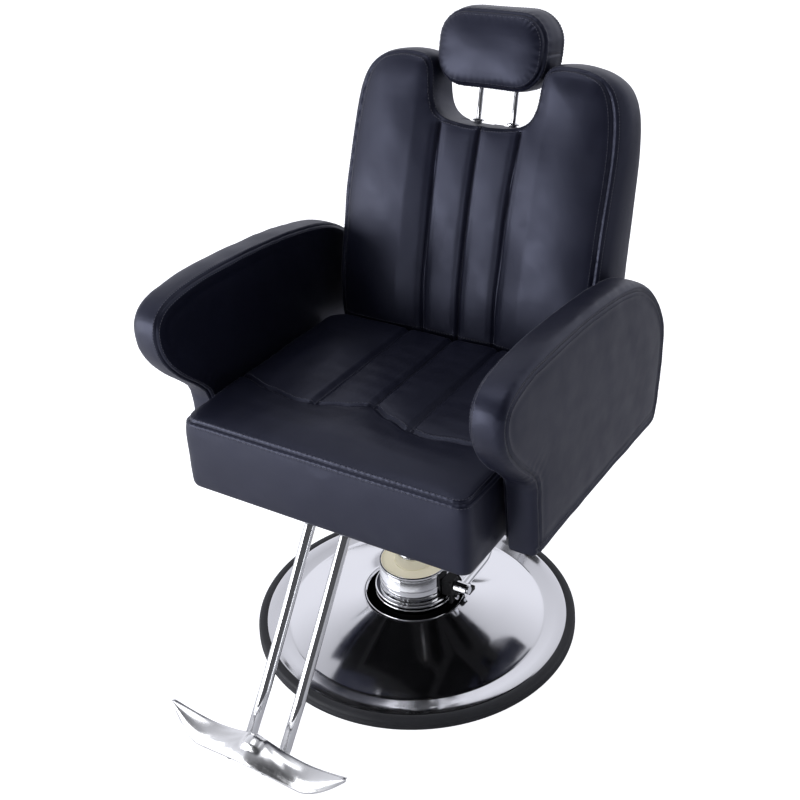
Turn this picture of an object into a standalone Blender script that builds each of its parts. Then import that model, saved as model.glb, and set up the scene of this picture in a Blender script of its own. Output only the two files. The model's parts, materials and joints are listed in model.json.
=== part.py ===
"""Hydraulic barber chair: swivelling pump base, lifting seat, reclining back and sliding headrest.

Metres, +Z up, the sitter faces -Y. The origin is on the floor at the centre of the round base.
Each moving assembly hangs from an empty that sits on its joint axis.
"""

from math import atan2, cos, hypot, pi, radians, sin

import bmesh
import bpy
from mathutils import Matrix, Vector

# Base
BASE_R = 0.300
RIM_H = 0.022
DISC_R = 0.283
DISC_TOP = 0.0170
CONE_FOOT_R = 0.240
NECK_R = 0.095
NECK_Z = 0.066

# Pump
SPIGOT_R = 0.0580
SLEEVE_R = 0.0655
SLEEVE_TOP = 0.1310
COLLAR_R = 0.0750
CYLINDER_R = 0.0360
CYLINDER_BORE = 0.0310
CYLINDER_TOP = 0.2850
RAM_R = 0.0190

# Pedal
PEDAL_X = 0.1000
PEDAL_Z = 0.1040
PEDAL_REACH = 0.345
PEDAL_TIP_X = 0.030

# Seat
SEAT_HALF_W = 0.2675
SEAT_FRONT = -0.272
SEAT_REAR = 0.168
SEAT_BOTTOM = 0.3775
SEAT_TOP = 0.527
RAIL_BOTTOM = 0.3440
RAIL_TOP = 0.3647
RAIL_OUT = 0.160
RAIL_IN = 0.136

# Side arms
ARM_IN = 0.2745
ARM_OUT = 0.330

# Back, in its own frame: s runs up the front plane, off runs to the rear of it
BACK_TILT = radians(14.46)
BACK_FOOT = (0.183, 0.526)
BACK_LOW_T = 0.115
BACK_HIGH_T = 0.078
BACK_DATUM = -0.022
HINGE_S = -0.075
HINGE_OFF = 0.114
HINGE_X = 0.160

# Headrest
POST_X = 0.034
POST_OFF = 0.060
POST_R = 0.0040
HEAD_HALF_W = 0.100
HEAD_LOW = 0.425
HEAD_HIGH = 0.548
HEAD_DEPTH = 0.092

# Gas spring of the recline
GAS_X = -0.125
GAS_PIVOT = (-0.030, 0.312)
LUG_R = 0.060
LUG_ANGLE = radians(17.5)

# Recline release lever
LEVER_Y = -0.0645
LEVER_Z = 0.333
LEVER_TIP_X = -0.348

# Footrest
TUBE_X = 0.034
TUBE_R = 0.0095
PLATE_HALF_W = 0.170


def clear_scene():
    for obj in list(bpy.data.objects):
        bpy.data.objects.remove(obj, do_unlink=True)


def material(name, colour, roughness, metallic=0.0):
    """The named Principled material, made once."""
    found = bpy.data.materials.get(name)
    if found:
        return found
    made = bpy.data.materials.new(name)
    made.use_nodes = True
    shader = made.node_tree.nodes["Principled BSDF"]
    shader.inputs["Base Color"].default_value = (*colour, 1.0)
    shader.inputs["Roughness"].default_value = roughness
    shader.inputs["Metallic"].default_value = metallic
    made.diffuse_color = (*colour, 1.0)
    return made


def chrome():
    return material("chrome", (0.86, 0.87, 0.88), 0.08, 1.0)


def steel():
    return material("black_steel", (0.03, 0.03, 0.034), 0.45, 0.3)


def zinc():
    return material("zinc_steel", (0.62, 0.63, 0.65), 0.35, 1.0)


def brass():
    return material("brass", (0.72, 0.54, 0.25), 0.3, 1.0)


def rubber():
    return material("black_rubber", (0.028, 0.028, 0.032), 0.75)


def ivory():
    return material("ivory_plastic", (0.86, 0.81, 0.62), 0.4)


def plastic():
    return material("black_plastic", (0.02, 0.02, 0.022), 0.4)


def wood():
    return material("black_board", (0.012, 0.012, 0.013), 0.7)


def vinyl():
    return material("navy_vinyl", (0.018, 0.019, 0.032), 0.38)


def casting():
    return material("polished_aluminium", (0.80, 0.81, 0.82), 0.16, 1.0)


def joint_empty(name, location, parent=None, tilt=0.0):
    """An empty on a joint axis. Tilt turns its frame back about X."""
    empty = bpy.data.objects.new(name, None)
    empty.empty_display_size = 0.05
    bpy.context.scene.collection.objects.link(empty)
    empty.parent = parent
    offset = parent.matrix_world.translation if parent else Vector((0.0, 0.0, 0.0))
    empty.location = Vector(location) - offset
    empty.rotation_euler = (-tilt, 0.0, 0.0)
    bpy.context.view_layer.update()
    return empty


def finish(mesh, name, surface, parent, local=False):
    """Turns a bmesh into a named object under its empty. World points unless local is set."""
    bmesh.ops.recalc_face_normals(mesh, faces=mesh.faces)
    if mesh.calc_volume(signed=True) < 0.0:
        bmesh.ops.reverse_faces(mesh, faces=mesh.faces)
    if not local and parent is not None:
        mesh.transform(parent.matrix_world.inverted())
    data = bpy.data.meshes.new(name)
    mesh.to_mesh(data)
    mesh.free()
    data.materials.append(surface)
    obj = bpy.data.objects.new(name, data)
    obj.parent = parent
    bpy.context.scene.collection.objects.link(obj)
    return obj


def loft(rings, closed_ends=True):
    """A skin through rings of equal length, capped with one face at each end."""
    mesh = bmesh.new()
    loops = [[mesh.verts.new(point) for point in ring] for ring in rings]
    count = len(loops[0])
    for low, high in zip(loops, loops[1:]):
        for i in range(count):
            j = (i + 1) % count
            mesh.faces.new((low[i], low[j], high[j], high[i]))
    if closed_ends:
        mesh.faces.new(loops[0])
        mesh.faces.new(loops[-1])
    return mesh


def spun(profile, segments, centre=(0.0, 0.0)):
    """A closed (radius, height) profile turned about Z. Points on the axis become poles."""
    mesh = bmesh.new()
    columns = []
    poles = {i: mesh.verts.new((*centre, z)) for i, (r, z) in enumerate(profile) if r == 0.0}
    for k in range(segments):
        turn = 2.0 * pi * k / segments
        column = []
        for i, (r, z) in enumerate(profile):
            if i in poles:
                column.append(poles[i])
                continue
            point = (centre[0] + r * cos(turn), centre[1] + r * sin(turn), z)
            column.append(mesh.verts.new(point))
        columns.append(column)
    count = len(profile)
    for k in range(segments):
        here = columns[k]
        there = columns[(k + 1) % segments]
        for i in range(count):
            j = (i + 1) % count
            if i in poles and j in poles:
                continue
            corners = (here[i], here[j], there[j], there[i])
            mesh.faces.new(list(dict.fromkeys(corners)))
    return mesh


def ring_profile(inner, outer, low, high, edge=0.0):
    """The section of a plain ring with its outer edges chamfered."""
    return [
        (inner, low),
        (outer - edge, low),
        (outer, low + edge),
        (outer, high - edge),
        (outer - edge, high),
        (inner, high),
    ] if edge else [(inner, low), (outer, low), (outer, high), (inner, high)]


def rod(start, end, radius, sides=16):
    """A straight round bar between two points."""
    start = Vector(start)
    end = Vector(end)
    along = end - start
    mesh = bmesh.new()
    bmesh.ops.create_cone(
        mesh, cap_ends=True, segments=sides, radius1=radius, radius2=radius, depth=along.length
    )
    turn = along.to_track_quat("Z", "Y").to_matrix().to_4x4()
    mesh.transform(Matrix.Translation((start + end) / 2.0) @ turn)
    return mesh


def box(low, high):
    """A block between two opposite corners."""
    mesh = bmesh.new()
    bmesh.ops.create_cube(mesh, size=1.0)
    low = Vector(low)
    high = Vector(high)
    size = high - low
    scale = Matrix.Diagonal((size.x, size.y, size.z, 1.0))
    mesh.transform(Matrix.Translation((low + high) / 2.0) @ scale)
    return mesh


def plate(outline, low, high):
    """A flat plate: a (y, z) outline pulled along X."""
    return loft([[(x, y, z) for y, z in outline] for x in (low, high)])


def bolt(head_at, axis, head_r, head_h, shank_r, shank_l):
    """A hexagon head with its shank, the shank running along the axis from the head's seat."""
    rings = []
    profile = ((0, head_r), (head_h, head_r), (head_h, shank_r), (head_h + shank_l, shank_r))
    for height, radius in profile:
        rings.append(
            [
                (radius * cos(pi * k / 6), radius * sin(pi * k / 6), height - head_h)
                for k in range(12)
            ]
        )
    for k in range(1, 12, 2):
        for ring in rings[:2]:
            x, y, z = ring[k]
            ring[k] = (x * cos(pi / 6), y * cos(pi / 6), z)
    mesh = loft(rings)
    turn = Vector(axis).to_track_quat("Z", "Y").to_matrix().to_4x4()
    mesh.transform(Matrix.Translation(head_at) @ turn)
    return mesh


def boolean(obj, mesh, operation):
    """Cuts or joins a helper mesh, which shares the object's frame."""
    helper = finish(mesh, obj.name + "_helper", steel(), obj.parent, local=False)
    helper.hide_render = True
    helper.display_type = "WIRE"
    step = obj.modifiers.new(operation.lower(), "BOOLEAN")
    step.operation = operation
    step.solver = "EXACT"
    step.object = helper


def drill(obj, start, end, radius, sides=16):
    boolean(obj, rod(start, end, radius, sides), "DIFFERENCE")


def drill_local(obj, start, end, radius, sides=16):
    """Drills with both points given in the frame of the object's empty."""
    frame = obj.parent.matrix_world
    drill(obj, frame @ Vector(start), frame @ Vector(end), radius, sides)


def swept(path, radius, sides=12):
    """A round tube along a path, each ring square to the path."""
    points = [Vector(p) for p in path]
    rings = []
    for i, point in enumerate(points):
        before = points[max(i - 1, 0)]
        after = points[min(i + 1, len(points) - 1)]
        along = (after - before).normalized()
        side = Vector((1.0, 0.0, 0.0)) if abs(along.x) < 0.7 else Vector((0.0, 0.0, 1.0))
        across = along.cross(side).normalized()
        other = along.cross(across).normalized()
        rings.append(
            [
                point + radius * (cos(2 * pi * k / sides) * across + sin(2 * pi * k / sides) * other)
                for k in range(sides)
            ]
        )
    return loft(rings)


def bend(before, corner, after, radius, steps=5):
    """Points of the arc that rounds a corner of a path."""
    corner = Vector(corner)
    back = (Vector(before) - corner).normalized()
    ahead = (Vector(after) - corner).normalized()
    half = back.angle(ahead) / 2.0
    reach = radius / (sin(half) / cos(half))
    middle = corner + (back + ahead).normalized() * (radius / sin(half))
    first = corner + back * reach - middle
    last = corner + ahead * reach - middle
    return [middle + first.slerp(last, k / steps).normalized() * radius for k in range(steps + 1)]


def rounded_rectangle(half_w, low, high, radius, steps=5):
    """Corner points of a rectangle symmetric about zero, anticlockwise from the lower right."""
    centres = (
        (half_w - radius, low + radius, -pi / 2),
        (half_w - radius, high - radius, 0.0),
        (radius - half_w, high - radius, pi / 2),
        (radius - half_w, low + radius, pi),
    )
    return [
        (u + radius * cos(turn + pi / 2 * k / steps), v + radius * sin(turn + pi / 2 * k / steps))
        for u, v, turn in centres
        for k in range(steps + 1)
    ]


def inset(outline, distance):
    """The outline with each point moved inwards, square to its neighbours' line."""
    moved = []
    count = len(outline)
    for i, (u, v) in enumerate(outline):
        before = outline[i - 1]
        after = outline[(i + 1) % count]
        du = after[0] - before[0]
        dv = after[1] - before[1]
        length = hypot(du, dv)
        moved.append((u - distance * dv / length, v + distance * du / length))
    return moved


def smooth_loop(knots, steps=2):
    """A closed Catmull-Rom curve through the knots."""
    count = len(knots)
    points = []
    for i in range(count):
        a, b, c, d = (Vector(knots[(i + k) % count]) for k in (-1, 0, 1, 2))
        for k in range(steps):
            t = k / steps
            point = (
                2.0 * b
                + (c - a) * t
                + (2.0 * a - 5.0 * b + 4.0 * c - d) * t * t
                + (3.0 * b - a - 3.0 * c + d) * t * t * t
            ) / 2.0
            points.append(tuple(point))
    return points


def base_parts(root):
    """Rubber rim, chromed dish and the cast core that carries the pump."""
    rim = [
        (0.2620, 0.0),
        (BASE_R - 0.003, 0.0),
        (BASE_R, 0.004),
        (BASE_R, 0.015),
        (BASE_R - 0.002, 0.0195),
        (BASE_R - 0.006, RIM_H),
        (BASE_R - 0.012, RIM_H),
        (DISC_R - 0.002, 0.0195),
        (DISC_R - 0.002, DISC_TOP + 0.0003),
        (DISC_R + 0.0003, DISC_TOP + 0.0003),
        (DISC_R + 0.0003, 0.0142),
        (0.2620, 0.0142),
    ]
    finish(spun(rim, 48), "rubber_rim", rubber(), root)
    dish = [
        (DISC_R, 0.0145),
        (DISC_R, DISC_TOP),
        (CONE_FOOT_R + 0.001, DISC_TOP),
        (CONE_FOOT_R - 0.004, DISC_TOP + 0.0015),
        (NECK_R + 0.007, NECK_Z - 0.0025),
        (NECK_R + 0.003, NECK_Z - 0.0005),
        (NECK_R - 0.001, NECK_Z),
        (NECK_R - 0.004, NECK_Z - 0.002),
        (NECK_R - 0.004, NECK_Z - 0.007),
        (NECK_R - 0.0015, NECK_Z - 0.007),
        (NECK_R - 0.0012, NECK_Z - 0.003),
        (NECK_R + 0.0055, NECK_Z - 0.0049),
        (CONE_FOOT_R - 0.0045, DISC_TOP - 0.0010),
        (CONE_FOOT_R + 0.0005, DISC_TOP - 0.0025),
    ]
    finish(spun(dish, 48), "base_dish", chrome(), root)
    core = [
        (0.0, 0.0),
        (0.0900, 0.0),
        (0.0915, 0.0015),
        (0.0915, 0.004),
        (0.225, 0.004),
        (0.225, 0.011),
        (0.110, 0.012),
        (0.078, 0.020),
        (0.070, 0.030),
        (0.070, 0.0590),
        (SPIGOT_R + 0.0005, 0.0590),
        (SPIGOT_R + 0.0005, 0.0125),
        (0.0, 0.0125),
    ]
    finish(spun(core, 32), "base_core", material("cast_iron", (0.05, 0.05, 0.055), 0.6, 0.4), root)


def pump_parts(pump):
    """Everything that turns in the base but doesn't rise."""
    housing = [
        (0.0, 0.0150),
        (SPIGOT_R, 0.0150),
        (SPIGOT_R, 0.0845),
        (SLEEVE_R, 0.0845),
        (SLEEVE_R, SLEEVE_TOP - 0.001),
        (SLEEVE_R - 0.001, SLEEVE_TOP + 0.0060),
        (SLEEVE_R - 0.0045, SLEEVE_TOP + 0.0060),
        (SLEEVE_R - 0.0045, SLEEVE_TOP - 0.0030),
        (0.0520, SLEEVE_TOP - 0.0030),
        (0.0520, 0.0220),
        (0.0, 0.0220),
    ]
    finish(spun(housing, 40), "pump_housing", chrome(), pump)
    collar = [
        (SPIGOT_R + 0.0003, 0.0610),
        (COLLAR_R - 0.002, 0.0610),
        (COLLAR_R, 0.0630),
        (COLLAR_R, 0.0715),
        (COLLAR_R - 0.0012, 0.0725),
        (COLLAR_R, 0.0735),
        (COLLAR_R, 0.0810),
        (COLLAR_R - 0.002, 0.0830),
        (SPIGOT_R + 0.0003, 0.0830),
    ]
    finish(spun(collar, 40), "pump_collar", chrome(), pump)
    cap = ring_profile(CYLINDER_R + 0.0003, SLEEVE_R - 0.0048, SLEEVE_TOP - 0.0027, SLEEVE_TOP + 0.0035, 0.001)
    finish(spun(cap, 32), "pump_cap", ivory(), pump)
    cylinder = [
        (0.0, 0.0223),
        (CYLINDER_R, 0.0223),
        (CYLINDER_R, CYLINDER_TOP - 0.002),
        (CYLINDER_R - 0.002, CYLINDER_TOP),
        (CYLINDER_BORE, CYLINDER_TOP),
        (CYLINDER_BORE, 0.0300),
        (0.0, 0.0300),
    ]
    finish(spun(cylinder, 32), "pump_cylinder", chrome(), pump)
    gland = ring_profile(RAM_R + 0.0004, CYLINDER_BORE - 0.0004, CYLINDER_TOP - 0.035, CYLINDER_TOP - 0.0003)
    finish(spun(gland, 28), "ram_gland", brass(), pump)
    wiper = ring_profile(RAM_R + 0.0004, CYLINDER_BORE - 0.001, CYLINDER_TOP + 0.0003, CYLINDER_TOP + 0.0065, 0.0015)
    finish(spun(wiper, 28), "wiper_seal", rubber(), pump)


def pedal_bracket_parts(pump):
    """The ear on the pump's side, the pedal's pivot screw and the ear's fixing screw."""
    ear = [
        (-0.015, 0.0720),
        (0.036, 0.0760),
        (0.036, 0.0900),
        (0.0155, 0.0960),
        (0.0155, 0.1130),
        (0.0090, 0.1210),
        (-0.0090, 0.1210),
        (-0.0150, 0.1130),
    ]
    bracket = finish(plate(ear, 0.0820, 0.0872), "pedal_bracket", steel(), pump)
    boolean(bracket, box((0.0661, -0.0135, 0.0865), (0.0830, 0.0135, 0.1190)), "UNION")
    boolean(bracket, box((0.0865, 0.0155, 0.0790), (0.1085, 0.0355, 0.0870)), "UNION")
    drill(bracket, (0.0790, 0.0, PEDAL_Z), (0.0900, 0.0, PEDAL_Z), 0.0044)
    drill(bracket, (PEDAL_X, 0.0255, 0.0700), (PEDAL_X, 0.0255, 0.0950), 0.0055)
    drill(bracket, (0.0830, -0.0020, 0.0800), (0.0900, -0.0020, 0.0800), 0.0028)
    pin = [
        (0.0, 0.0),
        (0.0040, 0.0),
        (0.0040, 0.0336),
        (0.0080, 0.0336),
        (0.0080, 0.0365),
        (0.0070, 0.0375),
        (0.0, 0.0375),
    ]
    screw = spun(pin, 20)
    turn = Matrix.Translation((0.0794, 0.0, PEDAL_Z)) @ Matrix.Rotation(pi / 2, 4, "Y")
    screw.transform(turn)
    finish(screw, "pedal_pivot_screw", zinc(), pump)
    cap = [
        (0.0, 0.0),
        (0.0025, 0.0),
        (0.0025, 0.0042),
        (0.0050, 0.0042),
        (0.0050, 0.0092),
        (0.0045, 0.0097),
        (0.0024, 0.0097),
        (0.0024, 0.0067),
        (0.0, 0.0067),
    ]
    fixing = spun(cap, 12)
    fixing.transform(Matrix.Translation((0.0834, -0.0020, 0.0800)) @ Matrix.Rotation(pi / 2, 4, "Y"))
    finish(fixing, "bracket_screw", zinc(), pump)


def pedal_parts(pedal, plunger):
    """The foot pedal on its hub, its pad, and the plunger that it works."""
    hub = rod((0.0877, 0.0, PEDAL_Z), (0.1125, 0.0, PEDAL_Z), 0.0115, 24)
    arm = finish(hub, "pedal_arm", chrome(), pedal)
    rise = (PEDAL_X, 0.095, 0.1080)
    tip = (PEDAL_TIP_X, PEDAL_REACH, 0.1500)
    start = (PEDAL_X, 0.0020, 0.1045)
    path = [start, *bend(start, rise, tip, 0.10, 4), tip]
    boolean(arm, swept(path, 0.0075, 12), "UNION")
    drill(arm, (0.0850, 0.0, PEDAL_Z), (0.1150, 0.0, PEDAL_Z), 0.0044)
    outline = rounded_rectangle(0.045, -0.030, 0.034, 0.014, 4)
    layers = ((-0.008, 0.003), (-0.004, 0.0), (0.006, 0.0), (0.010, 0.004))
    rings = [[(u, v, h) for u, v in inset(outline, d)] for h, d in layers]
    pad = loft(rings)
    slope = atan2(tip[2] - rise[2], tip[1] - rise[1])
    seat = Matrix.Translation((PEDAL_TIP_X - 0.008, PEDAL_REACH + 0.0335, 0.1560))
    pad.transform(seat @ Matrix.Rotation(slope, 4, "X"))
    finish(pad, "pedal_pad", rubber(), pedal)
    finish(
        rod((PEDAL_X, 0.0255, 0.0745), (PEDAL_X, 0.0255, 0.0960), 0.0050, 16),
        "pump_plunger",
        zinc(),
        plunger,
    )


def lift_parts(seat):
    """Ram with its piston, socket and mounting plate under the seat."""
    ram = [
        (0.0, 0.0420),
        (CYLINDER_BORE - 0.0020, 0.0420),
        (CYLINDER_BORE - 0.0005, 0.0435),
        (CYLINDER_BORE - 0.0005, 0.0585),
        (CYLINDER_BORE - 0.0020, 0.0600),
        (RAM_R, 0.0600),
        (RAM_R, 0.3000),
        (RAM_R - 0.0015, 0.3340),
        (0.0, 0.3340),
    ]
    finish(spun(ram, 28), "ram", chrome(), seat)
    socket = [
        (RAM_R + 0.0004, 0.2950),
        (0.0285, 0.2950),
        (0.0300, 0.2965),
        (0.0340, 0.3374),
        (RAM_R + 0.0004, 0.3374),
    ]
    finish(spun(socket, 28), "ram_socket", steel(), seat)
    mount = finish(box((-0.100, -0.100, 0.3377), (0.100, 0.100, 0.3437)), "mounting_plate", steel(), seat)
    frame = bpy.data.objects["seat_frame"]
    for i, (x, y) in enumerate(((-0.080, -0.078), (0.080, -0.078), (-0.080, 0.078), (0.080, 0.078))):
        drill(mount, (x, y, 0.3300), (x, y, 0.3450), 0.0045, 12)
        drill(frame, (x, y, 0.3400), (x, y, 0.3560), 0.0045, 12)
        head = bolt((x, y, 0.3374), (0, 0, 1), 0.0075, 0.0050, 0.0040, 0.0160)
        finish(head, f"mount_bolt_{i + 1}", zinc(), seat)


def seat_frame_parts(seat):
    """Welded rail frame and the plywood seat board."""
    front = -0.205
    outline = rounded_rectangle(RAIL_OUT, front, 0.215, 0.006, 2)
    rings = [[(x, y, z) for x, y in outline] for z in (RAIL_BOTTOM, RAIL_TOP)]
    frame = finish(loft(rings), "seat_frame", steel(), seat)
    windows = ((-0.181, -0.090), (-0.066, 0.066), (0.090, 0.230))
    for low, high in windows:
        cut = box((-RAIL_IN, low, RAIL_BOTTOM - 0.01), (RAIL_IN, high, RAIL_TOP + 0.01))
        boolean(frame, cut, "DIFFERENCE")
    relief = box((GAS_X - 0.015, 0.060, RAIL_BOTTOM - 0.01), (GAS_X + 0.015, 0.095, RAIL_BOTTOM + 0.004))
    boolean(frame, relief, "DIFFERENCE")
    board = rounded_rectangle(0.245, front - 0.002, 0.160, 0.020, 3)
    rings = [[(x, y, z) for x, y in board] for z in (RAIL_TOP + 0.0003, SEAT_BOTTOM - 0.0005)]
    finish(loft(rings), "seat_board", wood(), seat)


def seat_cushion_part(seat):
    layers = (
        (SEAT_BOTTOM, 0.005),
        (SEAT_BOTTOM + 0.006, 0.0),
        (0.497, 0.0),
        (0.512, 0.004),
        (0.522, 0.015),
        (SEAT_TOP, 0.045),
    )
    rings = []
    for z, d in layers:
        corner = 0.015 + d / 2.0
        outline = rounded_rectangle(SEAT_HALF_W - d, SEAT_FRONT + d, SEAT_REAR - d, corner, 5)
        rings.append([(x, y, z) for x, y in outline])
    finish(loft(rings), "seat_cushion", vinyl(), seat)


def arm_outline():
    """Side view of an armrest panel as (y, z): nose, swept throat, crowned top and round rear."""
    knots = (
        (-0.160, 0.3725),
        (-0.030, 0.3680),
        (0.100, 0.3630),
        (0.220, 0.3580),
        (0.306, 0.3540),
        (0.325, 0.3720),
        (0.337, 0.4250),
        (0.3415, 0.4900),
        (0.337, 0.5450),
        (0.308, 0.5960),
        (0.262, 0.6410),
        (0.200, 0.6770),
        (0.110, 0.6990),
        (0.010, 0.7110),
        (-0.090, 0.7165),
        (-0.180, 0.7165),
        (-0.246, 0.7060),
        (-0.277, 0.6840),
        (-0.2845, 0.6500),
        (-0.273, 0.6100),
        (-0.243, 0.5700),
        (-0.200, 0.5300),
        (-0.181, 0.5030),
        (-0.176, 0.4500),
        (-0.171, 0.3850),
    )
    return smooth_loop(knots, 2)


def arm_parts(seat):
    """Padded side panels and the steel angles that carry them."""
    layers = ((0.0, 0.006), (0.006, 0.0), (0.049, 0.0), (0.0555, 0.006))
    outline = arm_outline()
    frame = bpy.data.objects["seat_frame"]
    for side, word in ((-1, "left"), (1, "right")):
        rings = [
            [(side * (ARM_IN + depth), y, z) for y, z in inset(outline, d)] for depth, d in layers
        ]
        finish(loft(rings), f"arm_{word}", vinyl(), seat)
        angle = (
            (0.1370, 0.3400),
            (0.2730, 0.3400),
            (0.2730, 0.4500),
            (0.2693, 0.4500),
            (0.2693, 0.3437),
            (0.1370, 0.3437),
        )
        rings = [[(side * x, y, z) for x, z in angle] for y in (0.100, 0.150)]
        holder = finish(loft(rings), f"arm_angle_{word}", steel(), seat)
        boolean(holder, loft([[(side * x, y, z) for x, z in angle] for y in (0.010, 0.055)]), "UNION")
        strip = sorted((side * 0.2000, side * 0.2400))
        boolean(holder, box((strip[0], 0.0105, 0.3401), (strip[1], 0.1495, 0.3436)), "UNION")
        x = side * 0.148
        drill(holder, (x, 0.125, 0.3300), (x, 0.125, 0.3450), 0.0045, 12)
        drill(frame, (x, 0.125, 0.3400), (x, 0.125, 0.3550), 0.0045, 12)
        head = bolt((x, 0.125, 0.3397), (0, 0, 1), 0.0075, 0.0050, 0.0040, 0.0130)
        finish(head, f"arm_bolt_{word}", zinc(), seat)


def footplate_section(x):
    """One closed (y, z) section of the footplate at this distance from the middle."""
    share = abs(x) / PLATE_HALF_W
    dip = sin(pi * min(share / 0.98, 1.0))
    rear = Vector((-0.4755 - 0.006 * share**1.6, 0.1120 - 0.0140 * dip + 0.0010 * share))
    sweep = sin(pi / 2 * min(share / 0.58, 1.0)) ** 2
    lift = max((share - 0.58) / 0.42, 0.0) ** 1.7
    front = Vector((-0.5225 + 0.009 * sweep + 0.028 * lift, 0.0910 - 0.0175 * sweep + 0.0340 * lift))
    along = front - rear
    up = Vector((along.y, -along.x)).normalized()
    thick = 0.0042 * (1.0 - 0.35 * share**4)
    count = 7
    top = []
    bottom = []
    for k in range(count + 1):
        turn = pi * k / count
        t = (1.0 - cos(turn)) / 2.0
        crown = 0.0035 * sin(pi * t)
        edge = thick * sin(turn) ** 0.6 if 0 < k < count else 0.0
        point = rear + along * t
        top.append(point + up * (crown + edge))
        if 0 < k < count:
            bottom.append(point + up * (crown - edge))
    return [(x, p.x, p.y) for p in top + bottom[::-1]]


def footrest_parts(seat):
    """Two chromed tubes from the saddle under the seat down to the cast footplate."""
    rail = (-0.207, 0.3675)
    knee = (-0.2500, 0.3675)
    ankle = (-0.409, 0.1410)
    heel = (-0.4575, 0.0800)
    for side, word in ((-1, "left"), (1, "right")):
        x = side * TUBE_X
        points = [(x, *p) for p in (rail, knee, ankle, heel)]
        path = [
            points[0],
            *bend(points[0], points[1], points[2], 0.014, 5),
            *bend(points[1], points[2], points[3], 0.060, 3),
            points[3],
        ]
        finish(swept(path, TUBE_R, 14), f"footrest_tube_{word}", chrome(), seat)
    saddle = finish(box((-0.058, -0.2240, 0.3440), (0.058, -0.2055, 0.3640)), "footrest_saddle", steel(), seat)
    for side in (-1, 1):
        drill(saddle, (side * TUBE_X, -0.260, 0.3675), (side * TUBE_X, -0.200, 0.3675), TUBE_R + 0.0004, 20)
    stations = 28
    rings = []
    for k in range(stations + 1):
        t = -cos(pi * k / stations)
        rings.append(footplate_section(PLATE_HALF_W * t))
    tread = finish(loft(rings), "footplate", casting(), seat)
    boss = bmesh.new()
    bmesh.ops.create_uvsphere(boss, u_segments=16, v_segments=8, radius=1.0)
    boss.transform(
        Matrix.Translation((0.0, -0.4925, 0.1155))
        @ Matrix.Rotation(radians(24), 4, "X")
        @ Matrix.Diagonal((0.0175, 0.0120, 0.0070, 1.0))
    )
    boolean(tread, boss, "UNION")
    for side in (-1, 1):
        x = side * TUBE_X
        elbow = [(x, -0.4578, 0.0796), (x, -0.4648, 0.0708), (x, -0.4960, 0.0960)]
        path = [elbow[0], *bend(*elbow, 0.010, 4), elbow[2]]
        boolean(tread, swept(path, 0.0092, 12), "UNION")
    for side, word in ((-1, "left"), (1, "right")):
        nub = rod((side * 0.034, -0.5102, 0.0781), (side * 0.034, -0.5147, 0.0845), 0.0045, 12)
        finish(nub, f"foot_nub_{word}", rubber(), seat)


def rear_plane(s):
    """Depth of the back's rear face below its front plane."""
    share = (s - BACK_DATUM) / 0.5
    return BACK_LOW_T + (BACK_HIGH_T - BACK_LOW_T) * share


def front_bow(s):
    """How far the padding stands forward of the front plane, most at the small of the back."""
    t = min(max((s + 0.036) / 0.396, 0.0), 1.0)
    return -0.014 * sin(pi * t**0.9) ** 0.8


def back_local(x, s, off):
    """A point of the back in the frame of the recline joint."""
    return (x, off - HINGE_OFF, s - HINGE_S)


def back_outline(spread):
    """The back's outline as (x, s), its sides pushed out by the boxing's bulge."""
    knots = (
        (0.140, -0.036, 0.0, -0.5),
        (0.225, -0.033, 0.3, -0.4),
        (0.246, -0.010, 0.8, -0.2),
        (0.2490, 0.100, 0.95, 0.0),
        (0.2495, 0.200, 1.0, 0.0),
        (0.2490, 0.300, 1.0, 0.0),
        (0.2460, 0.360, 1.05, 0.0),
        (0.2390, 0.407, 1.05, 0.15),
        (0.226, 0.440, 0.8, 0.3),
        (0.204, 0.460, 0.3, 0.4),
        (0.170, 0.4695, 0.0, 0.4),
        (0.137, 0.4695, -0.1, 0.4),
        (0.118, 0.464, -0.3, 0.3),
        (0.108, 0.447, -0.3, 0.0),
        (0.104, 0.419, -0.2, 0.0),
        (0.100, 0.396, -0.2, 0.0),
        (0.088, 0.374, -0.1, 0.2),
        (0.062, 0.363, 0.0, 0.1),
        (0.020, 0.3595, 0.0, 0.1),
    )
    right = [(x + a * spread, s + b * spread) for x, s, a, b in knots]
    left = [(-x, s) for x, s in reversed(right)]
    return right + left


def back_cushion_part(back):
    layers = ((0.0, -0.004), (0.08, 0.009), (0.40, 0.0210), (0.85, 0.0180), (1.0, 0.0090))
    rings = []
    for share, spread in layers:
        ring = []
        for x, s in back_outline(spread):
            bow = front_bow(s)
            ring.append(back_local(x, s, bow + (rear_plane(s) - bow) * share))
        rings.append(ring)
    cushion = finish(loft(rings), "back_cushion", vinyl(), back, local=True)
    for side in (-1, 1):
        x = side * POST_X
        drill_local(cushion, back_local(x, 0.232, POST_OFF), back_local(x, 0.380, POST_OFF), 0.0074, 14)


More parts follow.
